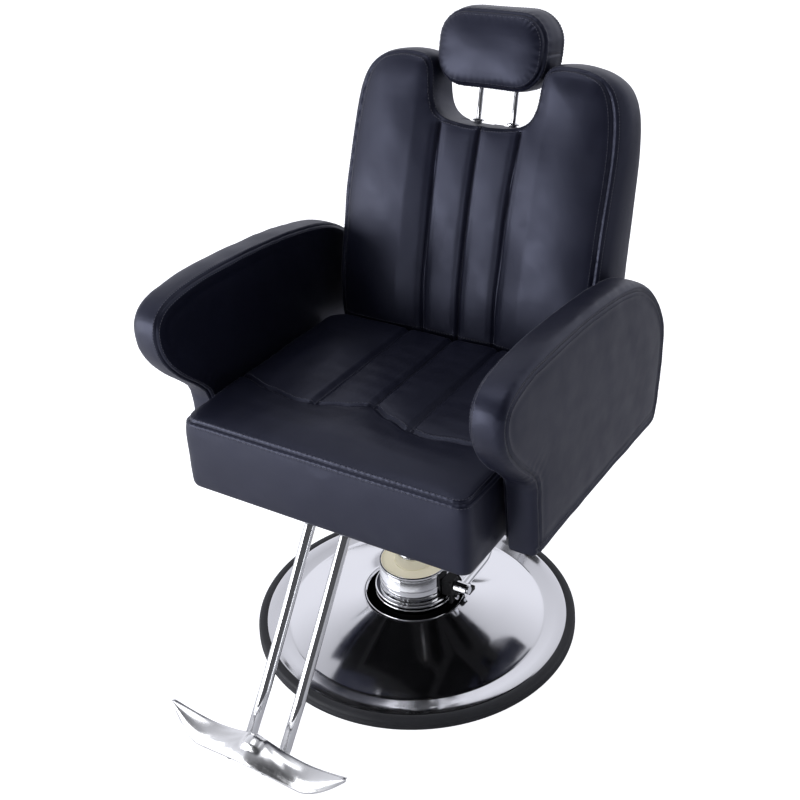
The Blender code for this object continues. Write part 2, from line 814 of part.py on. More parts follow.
def back_frame_parts(back):
    """Rear panel, hinge arms, gas spring lug and the headrest guides."""
    outline = rounded_rectangle(0.225, -0.008, 0.345, 0.030, 4)
    rings = [
        [back_local(x, s, rear_plane(s) + depth) for x, s in outline] for depth in (0.0005, 0.0100)
    ]
    finish(loft(rings), "back_panel", vinyl(), back, local=True)
    eye = [(0.016 * cos(pi + pi * k / 8), 0.016 * sin(pi + pi * k / 8)) for k in range(9)]
    arm = eye + [(0.032, 0.030), (0.028, 0.190), (0.0035, 0.190), (0.0135, 0.036), (-0.013, 0.018)]
    for side, word in ((-1, "left"), (1, "right")):
        low, high = sorted((side * (HINGE_X + 0.0057), side * (HINGE_X + 0.0117)))
        bar = finish(plate(arm, low, high), f"back_arm_{word}", steel(), back, local=True)
        drill_local(bar, (low - 0.005, 0.0, 0.0), (high + 0.005, 0.0, 0.0), 0.0063, 20)
    lug_y, lug_z = lug_local()
    eye = [
        (lug_y + 0.010 * cos(pi + pi * k / 6), lug_z + 0.010 * sin(pi + pi * k / 6)) for k in range(7)
    ]
    lug = eye + [(0.046, 0.000), (0.034, 0.130), (0.0065, 0.130), (0.0125, 0.036), (0.014, 0.020)]
    tab = finish(plate(lug, GAS_X - 0.0085, GAS_X - 0.0045), "gas_lug", steel(), back, local=True)
    drill_local(tab, (GAS_X - 0.015, lug_y, lug_z), (GAS_X + 0.005, lug_y, lug_z), 0.0042, 16)
    pin = [
        (0.0, 0.0),
        (0.0039, 0.0),
        (0.0039, 0.0140),
        (0.0085, 0.0140),
        (0.0085, 0.0165),
        (0.0, 0.0165),
    ]
    stud = spun(pin, 16)
    stud.transform(Matrix.Translation((GAS_X - 0.0092, lug_y, lug_z)) @ Matrix.Rotation(pi / 2, 4, "Y"))
    finish(stud, "rod_end_pin", zinc(), back, local=True)
    for side, word in ((-1, "left"), (1, "right")):
        guide = [
            (POST_R + 0.0004, 0.2450),
            (0.0070, 0.2450),
            (0.0070, 0.3652),
        (0.0105, 0.3652),
        (0.0105, 0.3668),
        (0.0090, 0.3682),
        (POST_R + 0.0004, 0.3682),
        ]
        sleeve = spun(guide, 16)
        place = back_local(side * POST_X, 0.0, POST_OFF)
        sleeve.transform(Matrix.Translation(place))
        finish(sleeve, f"post_guide_{word}", chrome(), back, local=True)


def lug_local():
    """The gas spring's rear pivot in the recline joint's frame, as (y, z)."""
    world = Vector((LUG_R * sin(LUG_ANGLE), -LUG_R * cos(LUG_ANGLE)))
    up = Vector((sin(BACK_TILT), cos(BACK_TILT)))
    rear = Vector((cos(BACK_TILT), -sin(BACK_TILT)))
    return world.dot(rear), world.dot(up)


def headrest_parts(head):
    """Pillow and its two posts, in the recline joint's frame moved up to the pillow."""
    outline = rounded_rectangle(HEAD_HALF_W, HEAD_LOW, HEAD_HIGH, 0.046, 6)
    layers = ((-0.004, 0.030), (0.003, 0.008), (0.011, 0.0), (0.046, -0.008), (0.080, -0.003), (HEAD_DEPTH, 0.012))
    rings = []
    for off, d in layers:
        rise = 0.10 * (off - 0.006)
        rings.append([head_local(x, s + rise, off) for x, s in inset(outline, d)])
    pillow = finish(loft(rings), "headrest_cushion", vinyl(), head, local=True)
    for side, word in ((-1, "left"), (1, "right")):
        x = side * POST_X
        low = head_local(x, 0.410, POST_OFF)
        high = head_local(x, 0.482, POST_OFF)
        drill_local(pillow, low, high, POST_R + 0.0004, 14)
        post = rod(head_local(x, 0.268, POST_OFF), head_local(x, 0.480, POST_OFF), POST_R, 14)
        finish(post, f"headrest_post_{word}", chrome(), head, local=True)


def head_local(x, s, off):
    return (x, off - POST_OFF, s - HEAD_LOW)


def hinge_parts(seat, hinge):
    """Brackets on the seat frame and the pins that the back turns on."""
    y, z = hinge
    eye = [(y + 0.017 * cos(pi * k / 8 - pi / 8), z + 0.017 * sin(pi * k / 8 - pi / 8)) for k in range(9)]
    outline = eye + [(0.176, 0.3640), (0.100, 0.3640), (0.100, 0.3445), (0.236, 0.3445)]
    for side, word in ((-1, "left"), (1, "right")):
        low, high = sorted((side * (HINGE_X + 0.0003), side * (HINGE_X + 0.0053)))
        bracket = finish(plate(outline, low, high), f"hinge_bracket_{word}", steel(), seat)
        drill(bracket, (low - 0.005, y, z), (high + 0.005, y, z), 0.0063, 20)
        pin = [
            (0.0, 0.0),
            (0.0050, 0.0),
            (0.0058, 0.0010),
            (0.0058, 0.0167),
            (0.0110, 0.0167),
            (0.0110, 0.0200),
            (0.0095, 0.0215),
            (0.0, 0.0215),
        ]
        stud = spun(pin, 20)
        turn = Matrix.Rotation(side * pi / 2, 4, "Y")
        stud.transform(Matrix.Translation((side * (HINGE_X - 0.0047), y, z)) @ turn)
        finish(stud, f"hinge_pin_{word}", zinc(), seat)


def gas_spring_parts(seat, cylinder, slider, pin, length):
    """Clevis, cylinder, rod and release pin, drawn along Y and turned with their empties."""
    y, z = GAS_PIVOT
    clevis = finish(box((-RAIL_OUT, y - 0.013, 0.3390), (GAS_X + 0.0130, y + 0.013, 0.3437)), "gas_clevis", steel(), seat)
    for low in (GAS_X - 0.0130, GAS_X + 0.0085):
        boolean(clevis, box((low, y - 0.0125, z - 0.0110), (low + 0.0045, y + 0.0085, 0.3400)), "UNION")
    drill(clevis, (GAS_X - 0.02, y, z), (GAS_X + 0.02, y, z), 0.0042, 16)
    cross = rod((GAS_X - 0.0145, y, z), (GAS_X + 0.0145, y, z), 0.0039, 16)
    finish(cross, "gas_clevis_pin", zinc(), seat)
    tube = [
        (0.0, 0.0100),
        (0.0100, 0.0100),
        (0.0100, 0.1640),
        (0.0085, 0.1665),
        (0.0046, 0.1665),
        (0.0046, 0.0500),
        (0.0, 0.0500),
    ]
    body = spun(tube, 20)
    body.transform(Matrix.Rotation(-pi / 2, 4, "X"))
    barrel = finish(body, "gas_cylinder", steel(), cylinder, local=True)
    block = box((-0.0080, -0.0200, -0.0085), (0.0080, 0.0130, 0.0085))
    block.transform(cylinder.matrix_world)
    boolean(barrel, block, "UNION")
    drill_local(barrel, (-0.012, 0.0, 0.0), (0.012, 0.0, 0.0), 0.0043, 16)
    drill_local(barrel, (0.0, -0.0250, 0.0), (0.0, -0.0058, 0.0), 0.0035, 12)
    rest = rod((0.0, 0.1050 - length, 0.0), (0.0, -0.0080, 0.0), 0.0040, 14)
    shaft = finish(rest, "gas_rod", chrome(), slider, local=True)
    end = rod((-0.0040, 0.0, 0.0), (0.0040, 0.0, 0.0), 0.0110, 20)
    end.transform(slider.matrix_world)
    boolean(shaft, end, "UNION")
    drill_local(shaft, (-0.010, 0.0, 0.0), (0.010, 0.0, 0.0), 0.0066, 20)
    finish(rod((0.0, -0.0295, 0.0), (0.0, -0.0125, 0.0), 0.0030, 12), "release_pin", zinc(), pin, local=True)


def lever_parts(seat, lever):
    """Cross rod with a cam finger and a grip, in two hangers under the frame."""
    inner = GAS_X - 0.0045
    path = [
        (inner, LEVER_Y, LEVER_Z),
        *bend((inner, LEVER_Y, LEVER_Z), (LEVER_TIP_X, LEVER_Y, LEVER_Z), (LEVER_TIP_X, 0.0, LEVER_Z), 0.018, 4),
        (LEVER_TIP_X, LEVER_Y + 0.045, LEVER_Z),
    ]
    shaft = finish(swept(path, 0.0045, 12), "release_lever", zinc(), lever)
    finger = box((GAS_X - 0.0060, LEVER_Y - 0.0040, 0.3045), (GAS_X + 0.0040, LEVER_Y + 0.0040, LEVER_Z + 0.0040))
    boolean(shaft, finger, "UNION")
    grip = [
        (0.0, 0.0),
        (0.0080, 0.0),
        (0.0100, 0.0030),
        (0.0095, 0.0550),
        (0.0070, 0.0620),
        (0.0, 0.0640),
    ]
    knob = spun(grip, 16)
    knob.transform(Matrix.Translation((LEVER_TIP_X, LEVER_Y + 0.0455, LEVER_Z)) @ Matrix.Rotation(-pi / 2, 4, "X"))
    finish(knob, "lever_grip", plastic(), lever)
    hanger = finish(
        box((-0.1595, LEVER_Y - 0.009, LEVER_Z - 0.010), (-0.1525, LEVER_Y + 0.009, 0.3438)),
        "lever_hanger",
        steel(),
        seat,
    )
    drill(hanger, (-0.165, LEVER_Y, LEVER_Z), (-0.145, LEVER_Y, LEVER_Z), 0.0050, 16)


def back_world(s, off):
    """World (y, z) of a point of the back at rest."""
    y = BACK_FOOT[0] + s * sin(BACK_TILT) + off * cos(BACK_TILT)
    z = BACK_FOOT[1] + s * cos(BACK_TILT) - off * sin(BACK_TILT)
    return y, z


def main():
    clear_scene()
    root = joint_empty("base_origin", (0.0, 0.0, 0.0))
    pump = joint_empty("pump_swivel", (0.0, 0.0, 0.0), root)
    pedal = joint_empty("pedal_hinge", (PEDAL_X, 0.0, PEDAL_Z), pump)
    plunger = joint_empty("plunger_slide", (PEDAL_X, 0.0255, 0.0745), pump)
    seat = joint_empty("seat_lift", (0.0, 0.0, 0.060), pump)
    hinge = back_world(HINGE_S, HINGE_OFF)
    back = joint_empty("back_recline", (0.0, *hinge), seat, BACK_TILT)
    lug = (hinge[0] + LUG_R * sin(LUG_ANGLE), hinge[1] - LUG_R * cos(LUG_ANGLE))
    run = Vector((lug[0] - GAS_PIVOT[0], lug[1] - GAS_PIVOT[1]))
    swing = -atan2(run.y, run.x)
    cylinder = joint_empty("gas_swing", (GAS_X, *GAS_PIVOT), seat, swing)
    slider = joint_empty("gas_rod_slide", (GAS_X, *lug), seat, swing)
    pin = joint_empty("release_pin_slide", (GAS_X, *GAS_PIVOT), seat, swing)
    lever = joint_empty("lever_hinge", (GAS_X, LEVER_Y, LEVER_Z), seat)
    base_parts(root)
    pump_parts(pump)
    pedal_bracket_parts(pump)
    pedal_parts(pedal, plunger)
    seat_frame_parts(seat)
    lift_parts(seat)
    seat_cushion_part(seat)
    arm_parts(seat)
    footrest_parts(seat)
    hinge_parts(seat, hinge)
    gas_spring_parts(seat, cylinder, slider, pin, run.length)
    lever_parts(seat, lever)
    back_cushion_part(back)
    back_frame_parts(back)
    head = bpy.data.objects.new("headrest_slide", None)
    bpy.context.scene.collection.objects.link(head)
    head.parent = back
    head.location = back_local(0.0, HEAD_LOW, POST_OFF)
    bpy.context.view_layer.update()
    headrest_parts(head)


main()
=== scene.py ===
"""Looks of the hydraulic barber chair: upholstery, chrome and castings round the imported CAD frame."""

import json
from math import atan2, cos, exp, pi, radians, sin

import bmesh
import bpy
import numpy as np
from mathutils import Matrix, Vector
from mathutils.bvhtree import BVHTree
from mathutils.kdtree import KDTree


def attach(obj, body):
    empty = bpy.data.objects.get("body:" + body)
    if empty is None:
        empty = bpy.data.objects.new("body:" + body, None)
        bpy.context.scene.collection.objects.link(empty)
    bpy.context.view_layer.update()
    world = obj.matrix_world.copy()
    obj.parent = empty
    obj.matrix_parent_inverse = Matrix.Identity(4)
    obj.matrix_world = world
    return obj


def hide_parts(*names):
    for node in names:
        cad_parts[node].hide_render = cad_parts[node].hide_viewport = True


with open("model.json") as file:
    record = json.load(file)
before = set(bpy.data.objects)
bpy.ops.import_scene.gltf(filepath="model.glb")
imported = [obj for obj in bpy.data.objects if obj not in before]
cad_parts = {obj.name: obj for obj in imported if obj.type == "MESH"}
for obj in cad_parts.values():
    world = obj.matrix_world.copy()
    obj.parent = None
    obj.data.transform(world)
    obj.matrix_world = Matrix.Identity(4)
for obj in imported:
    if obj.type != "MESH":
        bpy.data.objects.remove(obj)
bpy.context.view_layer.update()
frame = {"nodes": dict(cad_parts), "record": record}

BACK_TILT = radians(14.46)
UP = np.array((0.0, sin(BACK_TILT), cos(BACK_TILT)))
REAR = np.array((0.0, cos(BACK_TILT), -sin(BACK_TILT)))
BACK_FOOT = np.array((0.0, 0.183, 0.526))
ARM_IN = 0.276
ARM_OUT = 0.33
POST_X = 0.034
POST_OFF = 0.06
TUBE_X = 0.034


# -------- meshes


def placed(name, data):
    obj = bpy.data.objects.new(name, data)
    bpy.context.scene.collection.objects.link(obj)
    return obj


def new_object(name, verts, faces, surface):
    mesh = bpy.data.meshes.new(name)
    mesh.from_pydata([tuple(v) for v in verts], [], [tuple(f) for f in faces])
    mesh.update()
    mesh.shade_smooth()
    if surface:
        mesh.materials.append(surface)
    return placed(name, mesh)


def lofted(name, rings, surface=None):
    """A closed skin through rings of equal length."""
    count = len(rings[0])
    verts = [tuple(p) for ring in rings for p in ring]
    faces = []
    for r in range(len(rings) - 1):
        a, b = r * count, (r + 1) * count
        for i in range(count):
            j = (i + 1) % count
            faces.append((a + i, a + j, b + j, b + i))
    last = (len(rings) - 1) * count
    faces.append(tuple(range(count))[::-1])
    faces.append(tuple(range(last, last + count)))
    return outward(new_object(name, verts, faces, surface))


def outward(obj):
    mesh = bmesh.new()
    mesh.from_mesh(obj.data)
    bmesh.ops.recalc_face_normals(mesh, faces=mesh.faces)
    if mesh.calc_volume(signed=True) < 0.0:
        bmesh.ops.reverse_faces(mesh, faces=mesh.faces)
    mesh.to_mesh(obj.data)
    mesh.free()
    return obj


def spun(name, profile, segments, surface, sharp=None):
    """A closed (radius, height) profile turned about Z."""
    verts, faces, index = [], [], {}
    for i, (r, z) in enumerate(profile):
        if r <= 0.0:
            index[i] = [len(verts)] * segments
            verts.append((0.0, 0.0, z))
        else:
            index[i] = list(range(len(verts), len(verts) + segments))
            for k in range(segments):
                turn = 2.0 * pi * k / segments
                verts.append((r * cos(turn), r * sin(turn), z))
    count = len(profile)
    for i in range(count):
        j = (i + 1) % count
        for k in range(segments):
            m = (k + 1) % segments
            corners = (index[i][k], index[j][k], index[j][m], index[i][m])
            face = list(dict.fromkeys(corners))
            if len(face) > 2:
                faces.append(face)
    obj = outward(new_object(name, verts, faces, surface))
    if sharp:
        obj.data.set_sharp_from_angle(angle=radians(sharp))
    return obj


def rounded_profile(points, radius=0.001, steps=3):
    """A closed (r, z) polygon with each corner off the axis rounded."""
    done = []
    count = len(points)
    for i, point in enumerate(points):
        here = Vector(point)
        before = Vector(points[i - 1]) - here
        after = Vector(points[(i + 1) % count]) - here
        if point[0] <= 0.0 or before.length < 1e-6 or after.length < 1e-6:
            done.append(tuple(here))
            continue
        reach = min(radius, before.length * 0.45, after.length * 0.45)
        first = here + before.normalized() * reach
        last = here + after.normalized() * reach
        for k in range(steps + 1):
            t = k / steps
            done.append(tuple(first.lerp(here, t).lerp(here.lerp(last, t), t)))
    return done


def swept(name, path, radius, sides, surface):
    """A round bar along a path, with softened ends."""
    points = [Vector(p) for p in path]
    rings = []
    for i, point in enumerate(points):
        along = (points[min(i + 1, len(points) - 1)] - points[max(i - 1, 0)]).normalized()
        side = Vector((1.0, 0.0, 0.0)) if abs(along.x) < 0.7 else Vector((0.0, 0.0, 1.0))
        across = along.cross(side).normalized()
        other = along.cross(across).normalized()
        scales = [1.0]
        if i == 0:
            scales = [0.82, 1.0]
        elif i == len(points) - 1:
            scales = [1.0, 0.82]
        for n, scale in enumerate(scales):
            centre = point + along * (0.0006 * n if i else 0.0006 * (n - 1))
            turns = [2.0 * pi * k / sides for k in range(sides)]
            rings.append([centre + radius * scale * (cos(t) * across + sin(t) * other) for t in turns])
    return lofted(name, rings, surface)


def bend(before, corner, after, radius, steps=10):
    corner = Vector(corner)
    back = (Vector(before) - corner).normalized()
    ahead = (Vector(after) - corner).normalized()
    half = back.angle(ahead) / 2.0
    reach = radius / (sin(half) / cos(half))
    middle = corner + (back + ahead).normalized() * (radius / sin(half))
    first = corner + back * reach - middle
    last = corner + ahead * reach - middle
    return [middle + first.slerp(last, k / steps).normalized() * radius for k in range(steps + 1)]


def smooth_loop(knots, steps):
    """A closed Catmull-Rom curve through the knots."""
    count = len(knots)
    points = []
    for i in range(count):
        a, b, c, d = (np.array(knots[(i + k) % count], float) for k in (-1, 0, 1, 2))
        for k in range(steps):
            t = k / steps
            point = 2 * b + (c - a) * t + (2 * a - 5 * b + 4 * c - d) * t**2
            points.append((point + (3 * b - a - 3 * c + d) * t**3) / 2)
    return np.array(points)


def even_line(points, spacing=None, pieces=None, closed=False):
    """The polyline with its points set at even distances."""
    points = np.asarray(points, float)
    if closed:
        points = np.vstack([points, points[:1]])
    steps = np.linalg.norm(np.diff(points, axis=0), axis=1)
    run = np.concatenate([[0.0], np.cumsum(steps)])
    pieces = pieces or max(8 if closed else 2, int(round(run[-1] / spacing)))
    at = np.linspace(0.0, run[-1], pieces if closed else pieces + 1, endpoint=not closed)
    return np.column_stack([np.interp(at, run, points[:, k]) for k in range(points.shape[1])])


def even_loop(points, spacing):
    return even_line(points, spacing, closed=True)


def opened(loop):
    """A trimmed loop turned so that it starts after its widest gap."""
    gaps = np.linalg.norm(np.diff(loop, axis=0), axis=1)
    return np.roll(loop, -(int(np.argmax(gaps)) + 1), axis=0)


def inset(outline, distance):
    """A closed anticlockwise outline moved inwards."""
    after = np.roll(outline, -1, axis=0)
    before = np.roll(outline, 1, axis=0)
    along = after - before
    along /= np.linalg.norm(along, axis=1)[:, None]
    return outline + distance * np.column_stack([-along[:, 1], along[:, 0]])


def rounded_rectangle(half_w, low, high, radius, steps=10):
    centres = (
        (half_w - radius, low + radius, -pi / 2),
        (half_w - radius, high - radius, 0.0),
        (radius - half_w, high - radius, pi / 2),
        (radius - half_w, low + radius, pi),
    )
    return np.array(
        [
            (u + radius * cos(a + pi / 2 * k / steps), v + radius * sin(a + pi / 2 * k / steps))
            for u, v, a in centres
            for k in range(steps + 1)
        ]
    )


def points_of(obj):
    co = np.empty(len(obj.data.vertices) * 3)
    obj.data.vertices.foreach_get("co", co)
    return co.reshape(-1, 3)


def normals_of(obj):
    co = np.empty(len(obj.data.vertices) * 3)
    obj.data.vertex_normals.foreach_get("vector", co)
    return co.reshape(-1, 3)


def move_to(obj, co):
    obj.data.vertices.foreach_set("co", np.ascontiguousarray(co, float).ravel())
    obj.data.update()


def apply_modifiers(obj):
    graph = bpy.context.evaluated_depsgraph_get()
    mesh = bpy.data.meshes.new_from_object(obj.evaluated_get(graph))
    obj.modifiers.clear()
    old = obj.data
    obj.data = mesh
    bpy.data.meshes.remove(old)
    return obj


def remeshed(obj, size):
    step = obj.modifiers.new("remesh", "REMESH")
    step.mode = "VOXEL"
    step.voxel_size = size
    apply_modifiers(obj)
    step = obj.modifiers.new("smooth", "SMOOTH")
    step.factor = 0.5
    step.iterations = 4
    return apply_modifiers(obj)


def subdivided(obj, levels=1):
    step = obj.modifiers.new("subdivide", "SUBSURF")
    step.levels = levels
    step.render_levels = levels
    apply_modifiers(obj)
    obj.data.shade_smooth()
    return obj


def nearest(points, curves):
    """Distance from each point to the nearest curve, and how far along that curve it is."""
    total = sum(len(c) for c in curves)
    tree = KDTree(total)
    run = []
    n = 0
    for curve in curves:
        steps = np.linalg.norm(np.diff(curve, axis=0), axis=1)
        along = np.concatenate([[0.0], np.cumsum(steps)])
        for p in curve:
            tree.insert(p, n)
            n += 1
        run.extend(along + 10.0 * len(run))
    tree.balance()
    found = [tree.find(p) for p in points]
    dist = np.array([f[2] for f in found])
    along = np.array([run[f[1]] for f in found])
    return dist, along


def distance(points, *curves):
    return nearest(points, curves)[0]


def evened(obj, field, rounds):
    """A per-vertex field averaged with its neighbours a few times, which takes out small buckles."""
    ends = np.empty(len(obj.data.edges) * 2, np.int32)
    obj.data.edges.foreach_get("vertices", ends)
    a, b = ends.reshape(-1, 2).T
    count = np.bincount(a, minlength=len(field)) + np.bincount(b, minlength=len(field))
    for _ in range(rounds):
        total = np.zeros_like(field)
        np.add.at(total, a, field[b])
        np.add.at(total, b, field[a])
        field = 0.5 * field + 0.5 * total / np.maximum(count, 1)[:, None]
    return field


def puffed(obj, pins, pressure, cap):
    """Inflates a closed pad as cloth held along its seams, and limits how far a point may move."""
    start = points_of(obj)
    group = obj.vertex_groups.new(name="pins")
    for i, weight in enumerate(np.maximum.reduce(pins)):
        if weight > 0.02:
            group.add([i], float(min(weight, 1.0)), "REPLACE")
    step = obj.modifiers.new("cloth", "CLOTH")
    cloth = {
        "tension_stiffness": 12.0,
        "compression_stiffness": 12.0,
        "shear_stiffness": 6.0,
        "bending_stiffness": 0.5,
        "air_damping": 2.0,
        "vertex_group_mass": "pins",
        "use_pressure": True,
        "uniform_pressure_force": pressure,
    }
    for key, value in cloth.items():
        setattr(step.settings, key, value)
    step.settings.effector_weights.gravity = 0.0
    step.collision_settings.use_collision = False
    scene = bpy.context.scene
    for number in range(1, 21):
        scene.frame_set(number)
    apply_modifiers(obj)
    scene.frame_set(1)
    moved = evened(obj, points_of(obj) - start, 14)
    length = np.linalg.norm(moved, axis=1)
    limit = cap * np.tanh(length / cap)
    scale = np.where(length > 1e-9, limit / np.maximum(length, 1e-9), 0.0)
    move_to(obj, start + moved * scale[:, None])
    obj.vertex_groups.clear()
    return obj


def noise3(points, scale, seed):
    """Smooth value noise from a few crossed sine waves, the same every run."""
    rng = np.random.default_rng(seed)
    total = np.zeros(len(points))
    for _ in range(9):
        direction = rng.normal(size=3)
        direction /= np.linalg.norm(direction)
        rate = 2.0 * pi / scale * rng.uniform(0.6, 1.6)
        total += np.sin(points @ direction * rate + rng.uniform(0.0, 2.0 * pi))
    return total / 4.0


def add_attribute(obj, name, values):
    layer = obj.data.attributes.new(name, "FLOAT", "POINT")
    layer.data.foreach_set("value", np.ascontiguousarray(values, np.float32))


def bell(distance, width):
    return np.exp(-((distance / width) ** 2))


def ramp(value, width):
    """0 below zero, 1 above width, straight between."""
    return np.clip(value / width, 0.0, 1.0)


def seam_profile(dist, depth=0.0016, width=0.0022, lip=0.0006, reach=0.005):
    return -depth * np.exp(-((dist / width) ** 2)) + lip * bell(dist - reach, 0.0022)


def stitches(name, obj, lines, body, pitch=0.0052, length=0.0036, thick=0.00048):
    """Short thread capsules laid on the surface along each line."""
    tree = BVHTree.FromObject(obj, bpy.context.evaluated_depsgraph_get())
    verts, faces = [], []
    sides = 5
    for line in lines:
        line = even_line(line, pitch)
        for a, b in zip(line, line[1:]):
            middle = Vector((a + b) / 2.0)
            hit, normal, _, away = tree.find_nearest(middle)
            if hit is None or away > 0.012:
                continue
            along = Vector(b - a)
            along = (along - along.dot(normal) * normal).normalized()
            side = normal.cross(along)
            base = len(verts)
            for shift, scale in ((-0.5, 0.35), (-0.36, 1.0), (0.36, 1.0), (0.5, 0.35)):
                lift = 0.35 if scale == 1.0 else -0.9
                centre = hit + along * shift * length + normal * thick * lift
                for k in range(sides):
                    turn = 2.0 * pi * k / sides
                    point = centre + thick * scale * (cos(turn) * side + sin(turn) * normal)
                    verts.append(point)
            for r in range(3):
                for k in range(sides):
                    m = (k + 1) % sides
                    p = base + r * sides
                    faces.append((p + k, p + m, p + sides + m, p + sides + k))
            faces.append(tuple(base + k for k in range(sides))[::-1])
            faces.append(tuple(base + 3 * sides + k for k in range(sides)))
    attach(outward(new_object(name, verts, faces, THREAD)), body)


# -------- materials


class Nodes:
    """A small helper that builds a node tree."""

    def __init__(self, tree, space):
        self.tree = tree
        self.coords = self.add("ShaderNodeTexCoord").outputs[space]

    def add(self, kind, **values):
        node = self.tree.nodes.new(kind)
        for key, value in values.items():
            setattr(node, key, value)
        return node

    def link(self, a, b):
        self.tree.links.new(a, b)

    def noise(self, scale, detail=3.0, rough=0.5, stretch=None):
        node = self.add("ShaderNodeTexNoise")
        node.inputs["Scale"].default_value = scale
        node.inputs["Detail"].default_value = detail
        node.inputs["Roughness"].default_value = rough
        coords = self.coords
        if stretch:
            place = self.add("ShaderNodeMapping")
            place.inputs["Scale"].default_value = stretch
            self.link(coords, place.inputs["Vector"])
            coords = place.outputs["Vector"]
        self.link(coords, node.inputs["Vector"])
        return node.outputs["Fac"]

    def cells(self, scale):
        node = self.add("ShaderNodeTexVoronoi", feature="DISTANCE_TO_EDGE")
        node.inputs["Scale"].default_value = scale
        self.link(self.coords, node.inputs["Vector"])
        return node.outputs["Distance"]

    def times(self, value, by):
        node = self.add("ShaderNodeMath", operation="MULTIPLY")
        self.link(value, node.inputs[0])
        if isinstance(by, float):
            node.inputs[1].default_value = by
        else:
            self.link(by, node.inputs[1])
        return node.outputs["Value"]

    def ranged(self, value, low, high, to_low, to_high, kind="LINEAR"):
        node = self.add("ShaderNodeMapRange", interpolation_type=kind)
        for key, number in (("From Min", low), ("From Max", high), ("To Min", to_low), ("To Max", to_high)):
            node.inputs[key].default_value = number
        self.link(value, node.inputs["Value"])
        return node.outputs["Result"]

    def mixed(self, factor, first, second):
        node = self.add("ShaderNodeMix", data_type="RGBA")
        self.link(factor, node.inputs["Factor"])
        for value, slot in ((first, "A"), (second, "B")):
            socket = [s for s in node.inputs if s.name == slot and s.type == "RGBA"][0]
            if isinstance(value, tuple):
                socket.default_value = (*value, 1.0)
            else:
                self.link(value, socket)
        return [s for s in node.outputs if s.type == "RGBA"][0]

    def bump(self, height, strength, distance, under=None):
        node = self.add("ShaderNodeBump")
        node.inputs["Strength"].default_value = strength
        node.inputs["Distance"].default_value = distance
        self.link(height, node.inputs["Height"])
        if under:
            self.link(under, node.inputs["Normal"])
        return node.outputs["Normal"]

    def attribute(self, name):
        return self.add("ShaderNodeAttribute", attribute_name=name).outputs["Fac"]


class Surface(Nodes):
    """One Principled material."""

    def __init__(self, name):
        self.material = bpy.data.materials.new(name)
        self.material.use_nodes = True
        super().__init__(self.material.node_tree, "Object")
        self.shader = self.tree.nodes["Principled BSDF"]

    def finish(self, colour, roughness, normal=None, metallic=0.0, specular=0.5):
        for value, slot in ((colour, "Base Color"), (roughness, "Roughness")):
            if isinstance(value, tuple):
                self.shader.inputs[slot].default_value = (*value, 1.0)
            elif isinstance(value, float):
                self.shader.inputs[slot].default_value = value
            else:
                self.link(value, self.shader.inputs[slot])
        if normal:
            self.link(normal, self.shader.inputs["Normal"])
        self.shader.inputs["Metallic"].default_value = metallic
        self.shader.inputs["Specular IOR Level"].default_value = specular
        return self.material


def vinyl_material(name, seams=True):
    """Black navy faux leather: fine grain, faint mottling, darker and duller in the seams."""
    n = Surface(name)
    mottle = n.ranged(n.noise(9.0, 4.0, 0.6), 0.3, 0.7, 0.0, 1.0)
    colour = n.mixed(mottle, (0.006, 0.0066, 0.015), (0.009, 0.0098, 0.0215))
    rough = n.ranged(n.noise(26.0, 3.0), 0.3, 0.7, 0.36, 0.44)
    grain = n.bump(n.ranged(n.cells(620.0), 0.0, 0.25, 0.0, 1.0), 0.1, 0.00025)
    soft = n.bump(n.noise(55.0, 3.0), 0.1, 0.0016, grain)
    if seams:
        near = n.attribute("seam")
        groove = n.ranged(near, 0.0003, 0.0016, 0.0, 1.0)
        colour = n.mixed(groove, (0.0015, 0.0015, 0.0025), colour)
        soft = n.bump(n.ranged(near, 0.0, 0.0022, 0.0, 1.0), 0.9, 0.0011, soft)
    n.shader.inputs["Specular Tint"].default_value = (0.7, 0.74, 1.0, 1.0)
    return n.finish(colour, rough, soft, specular=0.62)


def thread_material():
    n = Surface("navy_thread")
    colour = n.mixed(n.noise(900.0), (0.06, 0.062, 0.085), (0.12, 0.124, 0.16))
    return n.finish(colour, 0.5)


def chrome_material(name="mirror_chrome", rough=0.035, tint=(0.9, 0.905, 0.915)):
    n = Surface(name)
    smear = n.ranged(n.noise(35.0, 4.0, 0.6, (1.0, 1.0, 3.0)), 0.35, 0.75, rough, rough + 0.05)
    wave = n.bump(n.noise(9.0, 1.0), 0.01, 0.001)
    colour = n.mixed(n.noise(6.0), tuple(c * 0.96 for c in tint), tint)
    return n.finish(colour, smear, wave, metallic=1.0)


def casting_material():
    """Polished cast aluminium with buffing lines."""
    n = Surface("buffed_aluminium")
    lines = n.noise(240.0, 4.0, 0.6, (1.0, 0.12, 0.12))
    rough = n.ranged(lines, 0.3, 0.7, 0.17, 0.27)
    wave = n.bump(n.noise(24.0, 2.0), 0.05, 0.0012, n.bump(lines, 0.03, 0.0003))
    colour = n.mixed(n.noise(40.0), (0.9, 0.9, 0.9), (0.95, 0.95, 0.945))
    return n.finish(colour, rough, wave, metallic=1.0)


def rubber_material(name="moulded_rubber", colour=(0.028, 0.029, 0.033)):
    n = Surface(name)
    fleck = n.noise(320.0, 4.0, 0.7)
    dust = n.ranged(n.noise(7.0, 4.0), 0.35, 0.75, 0.0, 1.0)
    base = n.mixed(dust, colour, tuple(c * 1.7 for c in colour))
    return n.finish(base, n.ranged(fleck, 0.3, 0.7, 0.52, 0.68), n.bump(fleck, 0.15, 0.0003))


